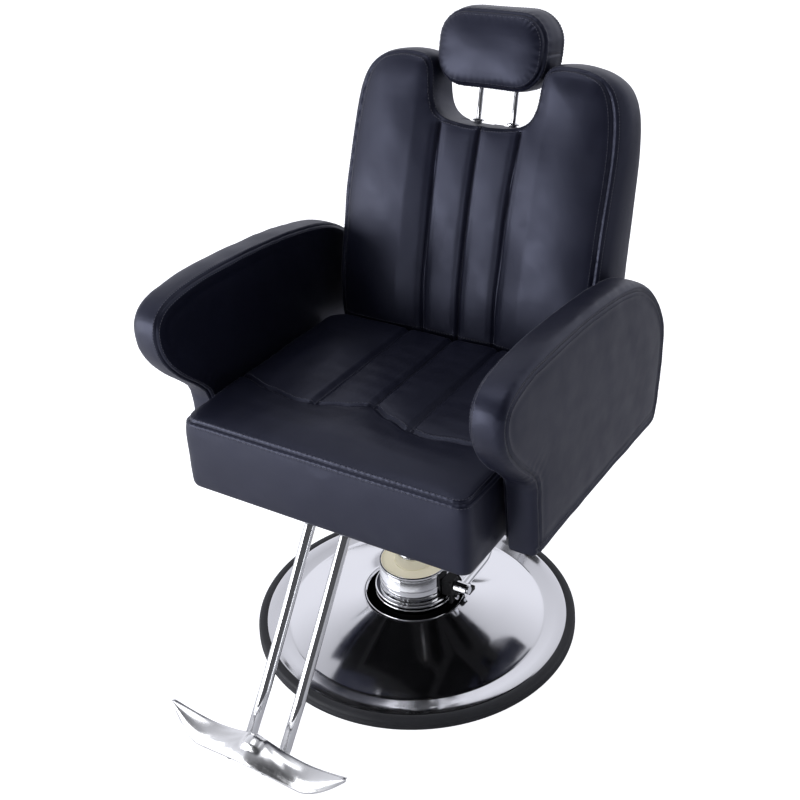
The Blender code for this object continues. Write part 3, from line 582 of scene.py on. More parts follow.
def painted_material(name, colour, rough=0.42, specular=0.5):
    n = Surface(name)
    peel = n.noise(420.0, 2.0)
    light = tuple(min(c * 1.15, 1.0) for c in colour)
    shade = n.mixed(n.noise(18.0), tuple(c * 0.85 for c in colour), light)
    dull = n.ranged(n.noise(50.0), 0.3, 0.7, rough - 0.05, rough + 0.06)
    return n.finish(shade, dull, n.bump(peel, 0.08, 0.0002), specular=specular)


def metal_material(name, colour, rough=0.3):
    n = Surface(name)
    lines = n.noise(300.0, 3.0, 0.6, (1.0, 1.0, 0.1))
    shade = n.mixed(n.noise(30.0), tuple(c * 0.88 for c in colour), colour)
    brushed = n.ranged(lines, 0.3, 0.7, rough - 0.06, rough + 0.08)
    return n.finish(shade, brushed, n.bump(lines, 0.05, 0.0002), metallic=1.0)


VINYL = vinyl_material("navy_faux_leather")
THREAD = thread_material()
CHROME = chrome_material()
DISH_CHROME = chrome_material("dish_chrome", 0.085, (0.93, 0.93, 0.95))
CASTING = casting_material()
RUBBER = rubber_material()
GLOWING_IVORY = painted_material("ivory_moulding", (0.92, 0.84, 0.62), 0.34)
# Painted light: the ivory moulding glows faintly (emission 0.3) so the pump cap stays bright where the seat
# shades it.
GLOWING_IVORY.node_tree.nodes["Principled BSDF"].inputs["Emission Color"].default_value = (0.95, 0.88, 0.68, 1.0)
GLOWING_IVORY.node_tree.nodes["Principled BSDF"].inputs["Emission Strength"].default_value = 0.3


# -------- upholstery


def smooth_steps(x, knots):
    """A smooth curve through (place, value) knots."""
    places = np.array([k[0] for k in knots])
    values = np.array([k[1] for k in knots])
    x = np.clip(x, places[0], places[-1])
    i = np.clip(np.searchsorted(places, x) - 1, 0, len(places) - 2)
    t = (x - places[i]) / (places[i + 1] - places[i])
    t = t * t * (3.0 - 2.0 * t)
    return values[i] * (1.0 - t) + values[i + 1] * t


def yoke_y(x):
    """The seat's yoke seam: a shallow moustache that dips to the rear at the middle."""
    near = ((0.0, -0.104), (0.045, -0.125), (0.092, -0.1415))
    far = ((0.125, -0.147), (0.185, -0.137), (0.268, -0.112))
    return smooth_steps(np.abs(x), near + far)


def ride_as(obj, body, node):
    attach(obj, body)
    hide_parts(node)


def finish_cushion(obj, node, body, seam_distance):
    add_attribute(obj, "seam", seam_distance)
    obj.data.materials.clear()
    obj.data.materials.append(VINYL)
    obj.data.shade_smooth()
    ride_as(obj, body, node)


def seat_cushion():
    half, front, rear = 0.268, -0.2725, 0.169
    layers = (
        (0.3775, 0.008, 0.02), (0.378, 0.004, 0.018), (0.38, 0.0012, 0.016), (0.384, -0.0004, 0.015),
        (0.44, -0.0006, 0.015), (0.48, -0.0006, 0.017), (0.498, 0.0, 0.02), (0.506, 0.0016, 0.024),
        (0.5115, 0.0052, 0.028), (0.515, 0.011, 0.032), (0.518, 0.02, 0.036), (0.5195, 0.04, 0.04),
        (0.5205, 0.07, 0.045),
    )
    rings = []
    for z, d, corner in layers:
        outline = rounded_rectangle(half - d, front + d, rear - 0.2 * d, corner, 10)
        rings.append([(x, y, z) for x, y in outline])
    obj = remeshed(lofted("seat_upholstery", rings), 0.0052)
    seam_z = 0.508
    edge = even_loop(rounded_rectangle(half - 0.003, front + 0.003, rear - 0.003, 0.025, 14), 0.001)
    edge = np.column_stack([edge, np.full(len(edge), seam_z)])
    xs = np.linspace(-half + 0.006, half - 0.006, 560)
    yoke = np.column_stack([xs, yoke_y(xs), np.full(len(xs), 0.5185)])
    channels = []
    for x in (-0.092, 0.0, 0.092):
        ys = np.linspace(float(yoke_y(np.array([x]))[0]) + 0.002, rear - 0.004, 300)
        channels.append(np.column_stack([np.full(300, x), ys, np.full(300, 0.5185)]))
    co = points_of(obj)
    d_edge = distance(co, edge)
    d_yoke = distance(co, yoke)
    d_channel = distance(co, *channels)
    top = ramp(co[:, 2] - 0.5, 0.012)
    co[:, 2] -= top * (0.003 * bell(d_yoke, 0.008) + 0.0035 * bell(d_channel, 0.009))
    move_to(obj, co)
    side = ramp(np.abs(co[:, 0]) - 0.255, 0.008) * ramp(co[:, 1] + 0.19, 0.03)
    pins = [
        bell(d_edge, 0.005),
        0.97 * bell(d_yoke, 0.005) * (top > 0.5),
        0.9 * bell(d_channel, 0.005) * (top > 0.5),
        ramp(0.384 - co[:, 2], 0.003),
        np.clip((co[:, 1] - 0.15) / 0.01, 0.0, 0.95),
        0.96 * side * (co[:, 2] < 0.512),
    ]
    puffed(obj, pins, 4.0, 0.012)
    subdivided(obj)
    co = points_of(obj)
    normal = normals_of(obj)
    flat_edge, run = nearest(co, [edge])
    d_yoke = distance(co * (1, 1, 0), yoke * (1, 1, 0))
    d_channel = distance(co * (1, 1, 0), *[c * (1, 1, 0) for c in channels])
    above = ramp(co[:, 2] - 0.506, 0.006)
    d_yoke = np.where(above > 0.5, d_yoke, 1.0)
    d_channel = np.where(above > 0.5, d_channel, 1.0)
    front_face = ramp(-0.235 - co[:, 1], 0.03)
    shift = seam_profile(flat_edge, 0.002, 0.0026, 0.0007, 0.0062)
    shift += above * seam_profile(d_yoke, 0.0026, 0.0034, 0.0013, 0.0062)
    shift += above * seam_profile(d_channel, 0.003, 0.0042, 0.0006, 0.01)
    gather = np.sin(run * 2.0 * pi / 0.0105 + 1.6 * np.sin(run * 31.0))
    shift += front_face * 0.00035 * gather * bell(flat_edge, 0.01)
    below = front_face * ramp(0.505 - co[:, 2], 0.006)
    wave = np.sin(co[:, 0] * 2.0 * pi / 0.23 + 1.1 + 0.8 * np.sin(co[:, 0] * 17.0))
    scallop = np.clip(wave, 0.0, 1.0) ** 2
    depth = 0.493 - 0.012 * scallop
    fold = bell(co[:, 2] - depth, 0.008) * ramp(0.21 - np.abs(co[:, 0]), 0.06)
    shift += below * 0.0006 * fold * scallop
    shift += 0.0007 * noise3(co, 0.13, 3) + 0.0003 * noise3(co, 0.045, 4)
    shift *= ramp(co[:, 2] - 0.38, 0.004)
    co += normal * shift[:, None]
    co[:, 2] = np.maximum(co[:, 2], 0.3782)
    move_to(obj, co)
    finish_cushion(obj, "seat_cushion", "seat", np.minimum(np.minimum(flat_edge, d_yoke), d_channel))
    rows = []
    for grow, z in ((0.0055, 0.5125), (-0.0005, 0.501)):
        line = rounded_rectangle(half - grow, front + grow, rear - grow, 0.025, 14)
        line = even_loop(line, 0.001)
        rows.append(opened(np.column_stack([line, np.full(len(line), z)])[line[:, 1] < 0.1]))
    lifted = yoke + np.array((0.0, 0.0062, 0.006))
    stitches("seat_stitching", obj, [*rows, lifted], "seat")


def rear_plane(s):
    share = (s + 0.022) / 0.5
    return 0.115 - 0.037 * share


def front_bow(s):
    """How far the padding stands forward of the front plane, most at the small of the back."""
    rise = ramp(s + 0.036, 0.13)
    fall = ramp(s - 0.2, 0.22)
    return -0.014 * rise * rise * (3.0 - 2.0 * rise) * (1.0 - fall * fall * (3.0 - 2.0 * fall))


def back_point(x, s, off):
    return BACK_FOOT + np.array((x, 0.0, 0.0)) + UP * s + REAR * off


def post_point(side, s):
    """A point on the axis of a headrest post."""
    return back_point(side * POST_X, s, POST_OFF)


def bowed(s, off):
    """The depth of a point of the straight back once its padding is bowed forward."""
    return off + front_bow(s) * (1.0 - np.clip(off / rear_plane(s), 0.0, 1.0))


def straight(s, off):
    bow = front_bow(s)
    return (off - bow) / (1.0 - bow / rear_plane(s))


def padded(x, s, off):
    return back_point(x, s, float(bowed(s, off)))


def back_coords(co):
    """(x, s, off) of world points."""
    rel = co - BACK_FOOT
    return rel[:, 0], rel @ UP, rel @ REAR


BACK_KNOTS = (
    (0.14, -0.036, 0.0, -0.5), (0.225, -0.033, 0.3, -0.4), (0.246, -0.01, 0.8, -0.2),
    (0.249, 0.1, 0.95, 0.0), (0.2495, 0.2, 1.0, 0.0), (0.249, 0.3, 1.0, 0.0),
    (0.246, 0.36, 1.05, 0.0), (0.239, 0.407, 1.05, 0.15), (0.226, 0.44, 0.8, 0.3),
    (0.204, 0.46, 0.3, 0.4), (0.17, 0.4695, 0.0, 0.4), (0.137, 0.4695, -0.1, 0.4),
    (0.118, 0.464, -0.3, 0.3), (0.108, 0.447, -0.3, 0.0), (0.104, 0.419, -0.2, 0.0),
    (0.1, 0.396, -0.2, 0.0), (0.088, 0.374, -0.1, 0.2), (0.062, 0.363, 0.0, 0.1),
    (0.02, 0.3595, 0.0, 0.1),
)


def back_outline(spread):
    right = [(x + a * spread, s + b * spread) for x, s, a, b in BACK_KNOTS]
    left = [(-x, s) for x, s in reversed(right)]
    return even_line(smooth_loop(right + left, 8), pieces=520, closed=True)


def back_channel_x(s):
    return smooth_steps(s, ((-0.02, 0.0725), (0.2, 0.074), (0.365, 0.0775)))


def back_cushion():
    layers = (
        (0.0, 0.0000, -0.012), (0.0, 0.0004, -0.007), (0.0, 0.003, -0.001), (0.0, 0.0075, 0.006),
        (0.0, 0.014, 0.0125), (0.0, 0.026, 0.018), (0.0, 0.042, 0.0205), (0.5, 0.008, 0.0212),
        (0.8, 0.0, 0.0195), (1.0, -0.011, 0.0165), (1.0, -0.004, 0.012), (1.0, -0.0008, 0.005),
        (1.0, -0.0003, -0.004),
    )
    rings = []
    for share, off, spread in layers:
        ring = back_outline(spread)
        rings.append([back_point(x, s, rear_plane(s) * share + off) for x, s in ring])
    obj = remeshed(lofted("back_upholstery", rings), 0.0055)
    front = np.array([padded(x, s, 0.002) for x, s in even_loop(back_outline(-0.003), 0.001)])
    rim = even_loop(back_outline(0.0125), 0.001)
    rear = np.array([padded(x, s, rear_plane(s) - 0.005) for x, s in rim])
    channels = []
    for sign in (-1, 0, 1):
        ss = np.linspace(-0.034, 0.356, 420)
        xs = sign * back_channel_x(ss)
        channels.append(np.array([padded(x, s, 0.0) for x, s in zip(xs, ss)]))
    co = points_of(obj)
    x, s, off = back_coords(co)
    co += np.outer(bowed(s, off) - off, REAR)
    d_front = distance(co, front)
    d_rear = distance(co, rear)
    d_channel = distance(co, *channels)
    face = ramp(0.012 - off, 0.008)
    depth = off - rear_plane(s)
    sink = face * 0.0045 * bell(d_channel, 0.008) * ramp(s + 0.03, 0.03)
    crown = face * (1.0 - np.exp(-d_front / 0.022)) * 0.0085 * ramp(np.abs(x) - 0.073, 0.05)
    crown += face * (1.0 - np.exp(-d_front / 0.018)) * 0.003
    co += np.outer(sink - crown, REAR)
    move_to(obj, co)
    low_side = ramp(np.abs(x) - 0.252, 0.006) * ramp(0.3 - s, 0.06)
    notch = bell(np.abs(x) - POST_X, 0.016) * (s > 0.345) * (off > 0.02)
    pins = [
        bell(d_front, 0.005),
        bell(d_rear, 0.006),
        0.98 * bell(d_channel, 0.0055) * (face > 0.3),
        ramp(depth + 0.01, 0.005),
        np.clip((-0.026 - s) / 0.008, 0.0, 0.98),
        0.99 * low_side,
        0.99 * notch,
    ]
    puffed(obj, pins, 4.0, 0.011)
    subdivided(obj)
    co = points_of(obj)
    normal = normals_of(obj)
    x, s, off = back_coords(co)
    off = straight(s, off)
    d_front, run = nearest(co, [front])
    d_rear = distance(co, rear)
    face = ramp(0.016 - off, 0.008)
    dx = np.minimum(np.abs(x), np.abs(np.abs(x) - back_channel_x(s)))
    d_channel = np.where((face > 0.4) & (s < 0.36), dx, 1.0)
    shift = seam_profile(d_front, 0.002, 0.0022, 0.0007, 0.0056)
    shift += seam_profile(d_rear, 0.0016, 0.0024, 0.0005, 0.0056)
    shift += face * seam_profile(d_channel, 0.0036, 0.0022, 0.001, 0.0058)
    shift += 0.0007 * noise3(co, 0.17, 11) + 0.0002 * noise3(co * (1, 1, 0.6), 0.06, 12)
    shift *= 1.0 - ramp(off - rear_plane(s) + 0.006, 0.004)
    post_gap = np.hypot(np.abs(x) - POST_X, off - POST_OFF)
    shift = np.where((s > 0.33) & (s < 0.4) & (post_gap < 0.03), shift - 0.0012, shift)
    co += normal * shift[:, None]
    limit = np.where(co[:, 2] < 0.735, 0.2722, 1.0)
    co[:, 0] = np.clip(co[:, 0], -limit, limit)
    move_to(obj, co)
    for side in (-1, 1):
        bore(obj, post_point(side, 0.232), post_point(side, 0.4), 0.0074)
    co = points_of(obj)
    x, s, off = back_coords(co)
    face = ramp(0.016 - straight(s, off), 0.008)
    dx = np.minimum(np.abs(x), np.abs(np.abs(x) - back_channel_x(s)))
    d_channel = np.where((face > 0.4) & (s < 0.36), dx, 1.0)
    finish_cushion(obj, "back_cushion", "back", np.minimum(distance(co, front, rear), d_channel))
    lines = []
    for spread, depth in ((-0.0085, -0.004), (0.004, 0.0075)):
        loop = even_loop(back_outline(spread), 0.001)
        lines.append(opened(np.array([padded(u, v, depth) for u, v in loop if v > -0.01])))
    stitches("back_stitching", obj, lines, "back")


def panel_point(x, s, off):
    return back_point(x, s, rear_plane(s) + off)


def back_panel():
    """The stitched cover over the rear of the back."""
    outline = even_loop(rounded_rectangle(0.225, -0.008, 0.345, 0.03, 8), 0.006)
    layers = (
        (0.008, 0.0006), (0.001, 0.0008), (0.0, 0.003), (0.0004, 0.0066),
        (0.0024, 0.009), (0.007, 0.0102), (0.011, 0.01), (0.013, 0.0101),
        (0.018, 0.0106),
    )
    rings = []
    for d, off in layers:
        rings.append([panel_point(x, s, off) for x, s in inset(outline, d)])
    middle = (0.0, 0.1685)
    inner = inset(outline, 0.018) - middle
    for share, off in ((0.86, 0.0109), (0.64, 0.011), (0.4, 0.011), (0.16, 0.011)):
        rings.append([panel_point(x, s, off) for x, s in inner * share + middle])
    obj = subdivided(lofted("back_panel_upholstery", rings), 2)
    seam = even_loop(inset(outline, 0.01), 0.001)
    seam = np.array([panel_point(x, s, 0.0101) for x, s in seam])
    co = points_of(obj)
    near = distance(co, seam)
    x, s, off = back_coords(co)
    outer = ramp(off - rear_plane(s) - 0.008, 0.002)
    shift = outer * (seam_profile(near, 0.0012, 0.0024, 0.0003, 0.0055) + 0.0003 * noise3(co, 0.09, 41))
    co += np.outer(shift, REAR)
    move_to(obj, co)
    finish_cushion(obj, "back_panel", "back", near)
    rows = []
    for d in (0.0055, 0.015):
        row = [panel_point(x, s, 0.01) for x, s in even_loop(inset(outline, d), 0.001)]
        rows.append(np.array(row + row[:1]))
    stitches("back_panel_stitching", obj, rows, "back")


def combined(obj, other, operation):
    """Joins or cuts the object with another one, which is used up."""
    step = obj.modifiers.new("combine", "BOOLEAN")
    step.operation = operation
    step.solver = "EXACT"
    step.object = other
    bpy.context.view_layer.update()
    apply_modifiers(obj)
    bpy.data.objects.remove(other)
    obj.data.shade_smooth()


def bore(obj, start, end, radius):
    """Cuts a round hole from one point to another."""
    start, end = Vector(start), Vector(end)
    mesh = bmesh.new()
    bmesh.ops.create_cone(
        mesh, cap_ends=True, segments=28, radius1=radius, radius2=radius, depth=(end - start).length
    )
    turn = (end - start).to_track_quat("Z", "Y").to_matrix().to_4x4()
    mesh.transform(Matrix.Translation((start + end) / 2.0) @ turn)
    bmesh.ops.recalc_face_normals(mesh, faces=mesh.faces)
    data = bpy.data.meshes.new("cutter")
    mesh.to_mesh(data)
    mesh.free()
    combined(obj, placed("cutter", data), "DIFFERENCE")


def headrest_point(x, s, off):
    return back_point(x, s + 0.1 * (off - 0.006), off)


def headrest():
    outline = rounded_rectangle(0.1, 0.425, 0.548, 0.05, 14)
    layers = (
        (0.005, 0.016), (0.0062, 0.007), (0.01, 0.0008), (0.013, -0.001),
        (0.028, -0.0045), (0.048, -0.006), (0.066, -0.0052), (0.08, -0.002),
        (0.087, 0.003), (0.0905, 0.01), (0.0915, 0.02),
    )
    rings = [[headrest_point(x, s, off) for x, s in inset(outline, d)] for off, d in layers]
    obj = remeshed(lofted("headrest_upholstery", rings), 0.004)
    dense = even_loop(outline, 0.001)
    front = np.array([headrest_point(x, s, 0.0105) for x, s in inset(dense, 0.0005)])
    rear = np.array([headrest_point(x, s, 0.072) for x, s in inset(dense, -0.0045)])
    side = np.array([headrest_point(0.105, 0.486, off) for off in np.linspace(0.011, 0.072, 80)])
    other = side * (-1, 1, 1)
    co = points_of(obj)
    d_front = distance(co, front)
    d_rear = distance(co, rear)
    x, s, off = back_coords(co)
    crown = ramp(0.014 - off, 0.006) * 0.0085 * (1.0 - np.exp(-d_front / 0.022))
    co -= np.outer(crown, REAR)
    move_to(obj, co)
    puffed(obj, [bell(d_front, 0.004), bell(d_rear, 0.004), ramp(off - 0.087, 0.003)], 4.0, 0.006)
    subdivided(obj)
    co = points_of(obj)
    normal = normals_of(obj)
    d_front, run = nearest(co, [front])
    d_rear = distance(co, rear)
    d_side = distance(co, side, other)
    shift = seam_profile(d_front, 0.0022, 0.0024, 0.0007, 0.0058)
    shift += seam_profile(d_rear, 0.002, 0.0024, 0.0006, 0.0056)
    shift += seam_profile(d_side, 0.0012, 0.002, 0.0004, 0.005)
    shift += 0.0003 * np.sin(run * 2 * pi / 0.013 + 2.2 * np.sin(run * 37.0)) * bell(d_front - 0.01, 0.008)
    shift += 0.0006 * noise3(co, 0.09, 21)
    co += normal * shift[:, None]
    move_to(obj, co)
    for sign in (-1, 1):
        bore(obj, post_point(sign, 0.405), post_point(sign, 0.481), 0.0045)
    co = points_of(obj)
    finish_cushion(obj, "headrest_cushion", "headrest", distance(co, front, rear, side, other))
    lines = []
    for d, off in ((0.0062, 0.004), (-0.003, 0.0165), (-0.005, 0.066), (-0.004, 0.078)):
        loop = inset(dense, d)
        line = np.array([headrest_point(u, v, off) for u, v in loop])
        lines.append(np.vstack([line, line[:1]]))
    stitches("headrest_stitching", obj, lines, "headrest")


ARM_KNOTS = (
    (-0.16, 0.3725), (-0.03, 0.368), (0.1, 0.363), (0.22, 0.358),
    (0.306, 0.354), (0.325, 0.372), (0.337, 0.425), (0.3415, 0.49),
    (0.337, 0.545), (0.308, 0.596), (0.262, 0.641), (0.2, 0.677),
    (0.11, 0.699), (0.01, 0.711), (-0.09, 0.7165), (-0.18, 0.7165),
    (-0.246, 0.706), (-0.277, 0.684), (-0.2845, 0.65), (-0.273, 0.61),
    (-0.243, 0.57), (-0.2, 0.53), (-0.181, 0.503), (-0.176, 0.45),
    (-0.171, 0.385),
)


def arm_pads():
    """The right arm is simulated; the left one is its mirror image."""
    outline = even_loop(smooth_loop(ARM_KNOTS, 8), 0.0035)
    wide = ARM_OUT - ARM_IN
    layers = (
        (0.0, 0.011), (0.0006, 0.005), (0.0024, 0.0012), (0.006, -0.0008),
        (0.012, -0.0018), (wide / 2, -0.0024), (wide - 0.012, -0.0018), (wide - 0.005, -0.0008),
        (wide - 0.0016, 0.0014), (wide + 0.0004, 0.005), (wide + 0.0012, 0.009),
        (wide + 0.0006, 0.013), (wide + 0.0008, 0.018),
    )
    rings = [[(ARM_IN + depth, y, z) for y, z in inset(outline, d)] for depth, d in layers]
    obj = remeshed(lofted("arm_right_upholstery", rings), 0.0055)
    dense = even_loop(outline, 0.001)
    seams = []
    for depth, d in ((0.003, 0.0012), (wide + 0.001, 0.0125)):
        loop = even_loop(inset(dense, d), 0.001)
        seams.append(np.column_stack([np.full(len(loop), ARM_IN + depth), loop]))
    co = points_of(obj)
    d_seam = distance(co, *seams)
    middle = (ARM_IN + ARM_OUT) / 2.0
    inner = ramp(middle - co[:, 0], 0.01)
    pins = [
        bell(d_seam, 0.005),
        0.93 * inner,
        np.clip((0.372 - co[:, 2]) / 0.006, 0.0, 0.97),
    ]
    puffed(obj, pins, 3.0, 0.0085)
    subdivided(obj)
    co = points_of(obj)
    normal = normals_of(obj)
    d_seam, run = nearest(co, seams)
    flat = np.column_stack([np.zeros(len(co)), co[:, 1:]])
    d_line = distance(flat, np.column_stack([np.zeros(len(dense)), dense]))
    face = ramp(np.abs(co[:, 0] - middle) - wide / 2 + 0.004, 0.004)
    shift = seam_profile(d_seam, 0.002, 0.0025, 0.0008, 0.006)
    shift -= face * 0.0008 * bell(d_line - 0.026, 0.008)
    shift += 0.0007 * noise3(co, 0.15, 31) + 0.0003 * noise3(co, 0.05, 32)
    throat = bell(np.hypot(co[:, 1] + 0.19, co[:, 2] - 0.522), 0.035)
    shift += 0.0003 * throat * np.sin((co[:, 1] - co[:, 2]) * 2 * pi / 0.024)
    co += normal * shift[:, None]
    co[:, 0] = np.maximum(co[:, 0], 0.2738)
    move_to(obj, co)
    rows = []
    for depth, d in ((0.0085, -0.001), (-0.0005, 0.0062), (wide + 0.002, 0.007), (wide + 0.003, 0.0185)):
        loop = even_loop(inset(dense, d), 0.001)
        row = np.column_stack([np.full(len(loop), ARM_IN + depth), loop])
        rows.append(opened(row[row[:, 2] > 0.384]))
    mesh = obj.data.copy()
    mesh.name = "arm_left_upholstery"
    left = placed("arm_left_upholstery", mesh)
    mesh.transform(Matrix.Scale(-1.0, 4, (1.0, 0.0, 0.0)))
    mesh.flip_normals()
    finish_cushion(obj, "arm_right", "seat", d_seam)
    finish_cushion(left, "arm_left", "seat", d_seam)
    stitches("arm_right_stitching", obj, rows, "seat")
    stitches("arm_left_stitching", left, [row * (-1, 1, 1) for row in rows], "seat")


# -------- base and pump


def base_dish():
    profile = [
        (0.2828, 0.0147), (0.2828, 0.0204), (0.28, 0.0208), (0.262, 0.0183),
        (0.245, 0.0159), (0.2425, 0.0158), (0.24, 0.0165), (0.236, 0.0182),
        (0.17, 0.0404), (0.103, 0.063), (0.0995, 0.065), (0.096, 0.0661),
        (0.093, 0.0655), (0.0912, 0.0635), (0.091, 0.0592), (0.0934, 0.0592),
        (0.094, 0.0626), (0.0962, 0.0636), (0.099, 0.0624), (0.102, 0.0606),
        (0.17, 0.0378), (0.235, 0.0162), (0.24, 0.0147),
    ]
    obj = spun("base_dish_polished", profile, 200, DISH_CHROME, 35)
    ride_as(obj, "base", "base_dish")


def rubber_rim():
    profile = rounded_profile(
        [
            (0.2622, 0.0), (0.2972, 0.0), (0.3, 0.0035), (0.3, 0.01),
            (0.299, 0.0112), (0.299, 0.0122), (0.2998, 0.0134), (0.2996, 0.0175),
            (0.296, 0.0212), (0.29, 0.0219), (0.2852, 0.0213), (0.2815, 0.0196),
            (0.2813, 0.0175), (0.2832, 0.0175), (0.2832, 0.014), (0.2622, 0.014),
        ],
        0.0012,
    )
    obj = spun("base_rim_moulding", profile, 180, RUBBER, 60)
    ride_as(obj, "base", "rubber_rim")


def pump_visible():
    sleeve = [
        (0.0, 0.015), (0.058, 0.015), (0.058, 0.0847), (0.0655, 0.0847),
        (0.0655, 0.105), (0.065, 0.1056), (0.065, 0.1066), (0.0655, 0.1072),
        (0.0655, 0.131), (0.065, 0.1365), (0.0612, 0.1368), (0.061, 0.1282),
        (0.052, 0.1282), (0.052, 0.022), (0.0, 0.022),
    ]
    collar = [
        (0.0584, 0.061), (0.0738, 0.061), (0.075, 0.0625), (0.075, 0.0708),
        (0.0741, 0.0716), (0.0741, 0.0724), (0.075, 0.0732), (0.075, 0.081),
        (0.073, 0.083), (0.0584, 0.083),
    ]
    cap = [(0.0364, 0.1285), (0.0606, 0.1285), (0.0606, 0.134), (0.059, 0.1348), (0.0364, 0.1348)]
    barrel = [
        (0.0, 0.0224), (0.0359, 0.0224), (0.0359, 0.281), (0.034, 0.2848),
        (0.0311, 0.2848), (0.0311, 0.03), (0.0, 0.03),
    ]
    for name, profile, edge, segments, surface, node, slot in (
        ("pump_sleeve_polished", sleeve, 0.0008, 128, CHROME, "pump_housing", "chrome"),
        ("pump_collar_polished", collar, 0.0007, 128, CHROME, "pump_collar", "chrome"),
        ("pump_cap_moulding", cap, 0.0008, 128, GLOWING_IVORY, "pump_cap", "ivory_plastic"),
        ("pump_cylinder_polished", barrel, 0.0008, 96, CHROME, "pump_cylinder", "chrome"),
    ):
        ride_as(spun(name, rounded_profile(profile, edge), segments, surface, 40), "pump", node)


# -------- footrest


def footrest_tubes():
    rail = (-0.207, 0.3675)
    knee = (-0.25, 0.3675)
    ankle = (-0.409, 0.141)
    heel = (-0.4575, 0.08)
    for side, word in ((-1, "left"), (1, "right")):
        x = side * TUBE_X
        points = [(x, *p) for p in (rail, knee, ankle, heel)]
        path = [
            points[0],
            *bend(points[0], points[1], points[2], 0.014, 12),
            *bend(points[1], points[2], points[3], 0.06, 8),
            points[3],
        ]
        obj = swept(f"footrest_tube_{word}_polished", path, 0.0095, 40, CHROME)
        ride_as(obj, "seat", f"footrest_tube_{word}")


def footplate_section(x, count=30):
    """One closed section of the footplate, with fanned flutes and a small boss on its upper face."""
    half = 0.17
    share = min(abs(x) / half, 1.0)
    dip = sin(pi * min(share / 0.98, 1.0))
    rear = Vector((-0.4755 - 0.006 * share**1.6, 0.112 - 0.014 * dip + 0.001 * share))
    sweep = sin(pi / 2 * min(share / 0.58, 1.0)) ** 2
    lift = max((share - 0.58) / 0.42, 0.0) ** 1.7
    front = Vector((-0.5225 + 0.009 * sweep + 0.028 * lift, 0.091 - 0.0175 * sweep + 0.034 * lift))
    along = front - rear
    up = Vector((along.y, -along.x)).normalized()
    thick = 0.0046 * (1.0 - 0.3 * share**4)
    top, bottom = [], []
    for k in range(count + 1):
        turn = pi * k / count
        t = (1.0 - cos(turn)) / 2.0
        crown = 0.0035 * sin(pi * t)
        edge = thick * sin(turn) ** 0.6 if 0 < k < count else 0.0
        point = rear + along * t
        spread = atan2(t * 0.052 + 0.004, abs(x) + 0.006)
        fan = exp(-(((abs(x) - 0.072) / 0.045) ** 2)) * sin(pi * t) ** 0.8
        flute = 0.00035 * fan * cos(spread * 24.0)
        rim = -0.0005 * exp(-(((t - 0.88) / 0.03) ** 2)) * min(share / 0.2, 1.0)
        dome = 0.0062 * exp(-((x / 0.0155) ** 6) - (((t - 0.3) / 0.24) ** 6))
        top.append(point + up * (crown + edge + flute + dome + rim))
        if 0 < k < count:
            bottom.append(point + up * (crown - edge))
    return [(x, p.x, p.y) for p in top + bottom[::-1]]


def footplate():
    half = 0.17
    stations = 150
    xs = [-half * cos(pi * k / stations) for k in range(stations + 1)]
    xs = [0.5 * x + 0.5 * half * (2.0 * k / stations - 1.0) for k, x in enumerate(xs)]
    rings = [footplate_section(x) for x in xs]
    plate = lofted("footplate_casting", rings, CASTING)
    for side in (-1, 1):
        x = side * TUBE_X
        elbow = [(x, -0.4578, 0.0796), (x, -0.4648, 0.0708), (x, -0.496, 0.096)]
        path = [elbow[0], *bend(*elbow, 0.01, 10), elbow[2]]
        combined(plate, swept("socket", path, 0.0092, 28, CASTING), "UNION")
    plate.data.set_sharp_from_angle(angle=radians(50))
    ride_as(plate, "seat", "footplate")


# -------- headrest posts


def posts():
    for side, word in ((-1, "left"), (1, "right")):
        low, high = post_point(side, 0.268), post_point(side, 0.48)
        obj = swept(f"headrest_post_{word}_polished", [low, (low + high) / 2, high], 0.004, 32, CHROME)
        ride_as(obj, "headrest", f"headrest_post_{word}")


# -------- carried-over nodes


def dress_frame():
    """Procedural finishes for every CAD node that stays visible."""
    surfaces = {
        "chrome": CHROME,
        "black_rubber": RUBBER,
        "cast_iron": painted_material("black_casting", (0.008, 0.008, 0.009), 0.55, 0.3),
        "ivory_plastic": GLOWING_IVORY,
        "brass": metal_material("turned_brass", (0.72, 0.54, 0.25), 0.25),
        "zinc_steel": metal_material("zinc_plate", (0.62, 0.63, 0.65), 0.24),
        "black_steel": painted_material("powder_coat", (0.006, 0.006, 0.007), 0.5, 0.25),
        "black_plastic": painted_material("black_moulding", (0.01, 0.01, 0.011), 0.36),
        "black_board": painted_material("black_board_cover", (0.005, 0.005, 0.006), 0.8, 0.1),
        "polished_aluminium": CASTING,
        "navy_vinyl": vinyl_material("navy_faux_leather_plain", seams=False),
    }
    slots = {entry["node"]: entry["material_slot"] for entry in frame["record"]["subparts"]}
    for name, obj in frame["nodes"].items():
        surface = surfaces.get(slots.get(name))
        if surface is None:
            continue
        for slot in obj.material_slots:
            slot.material = surface
        if not obj.material_slots:
            obj.data.materials.append(surface)


# -------- studio


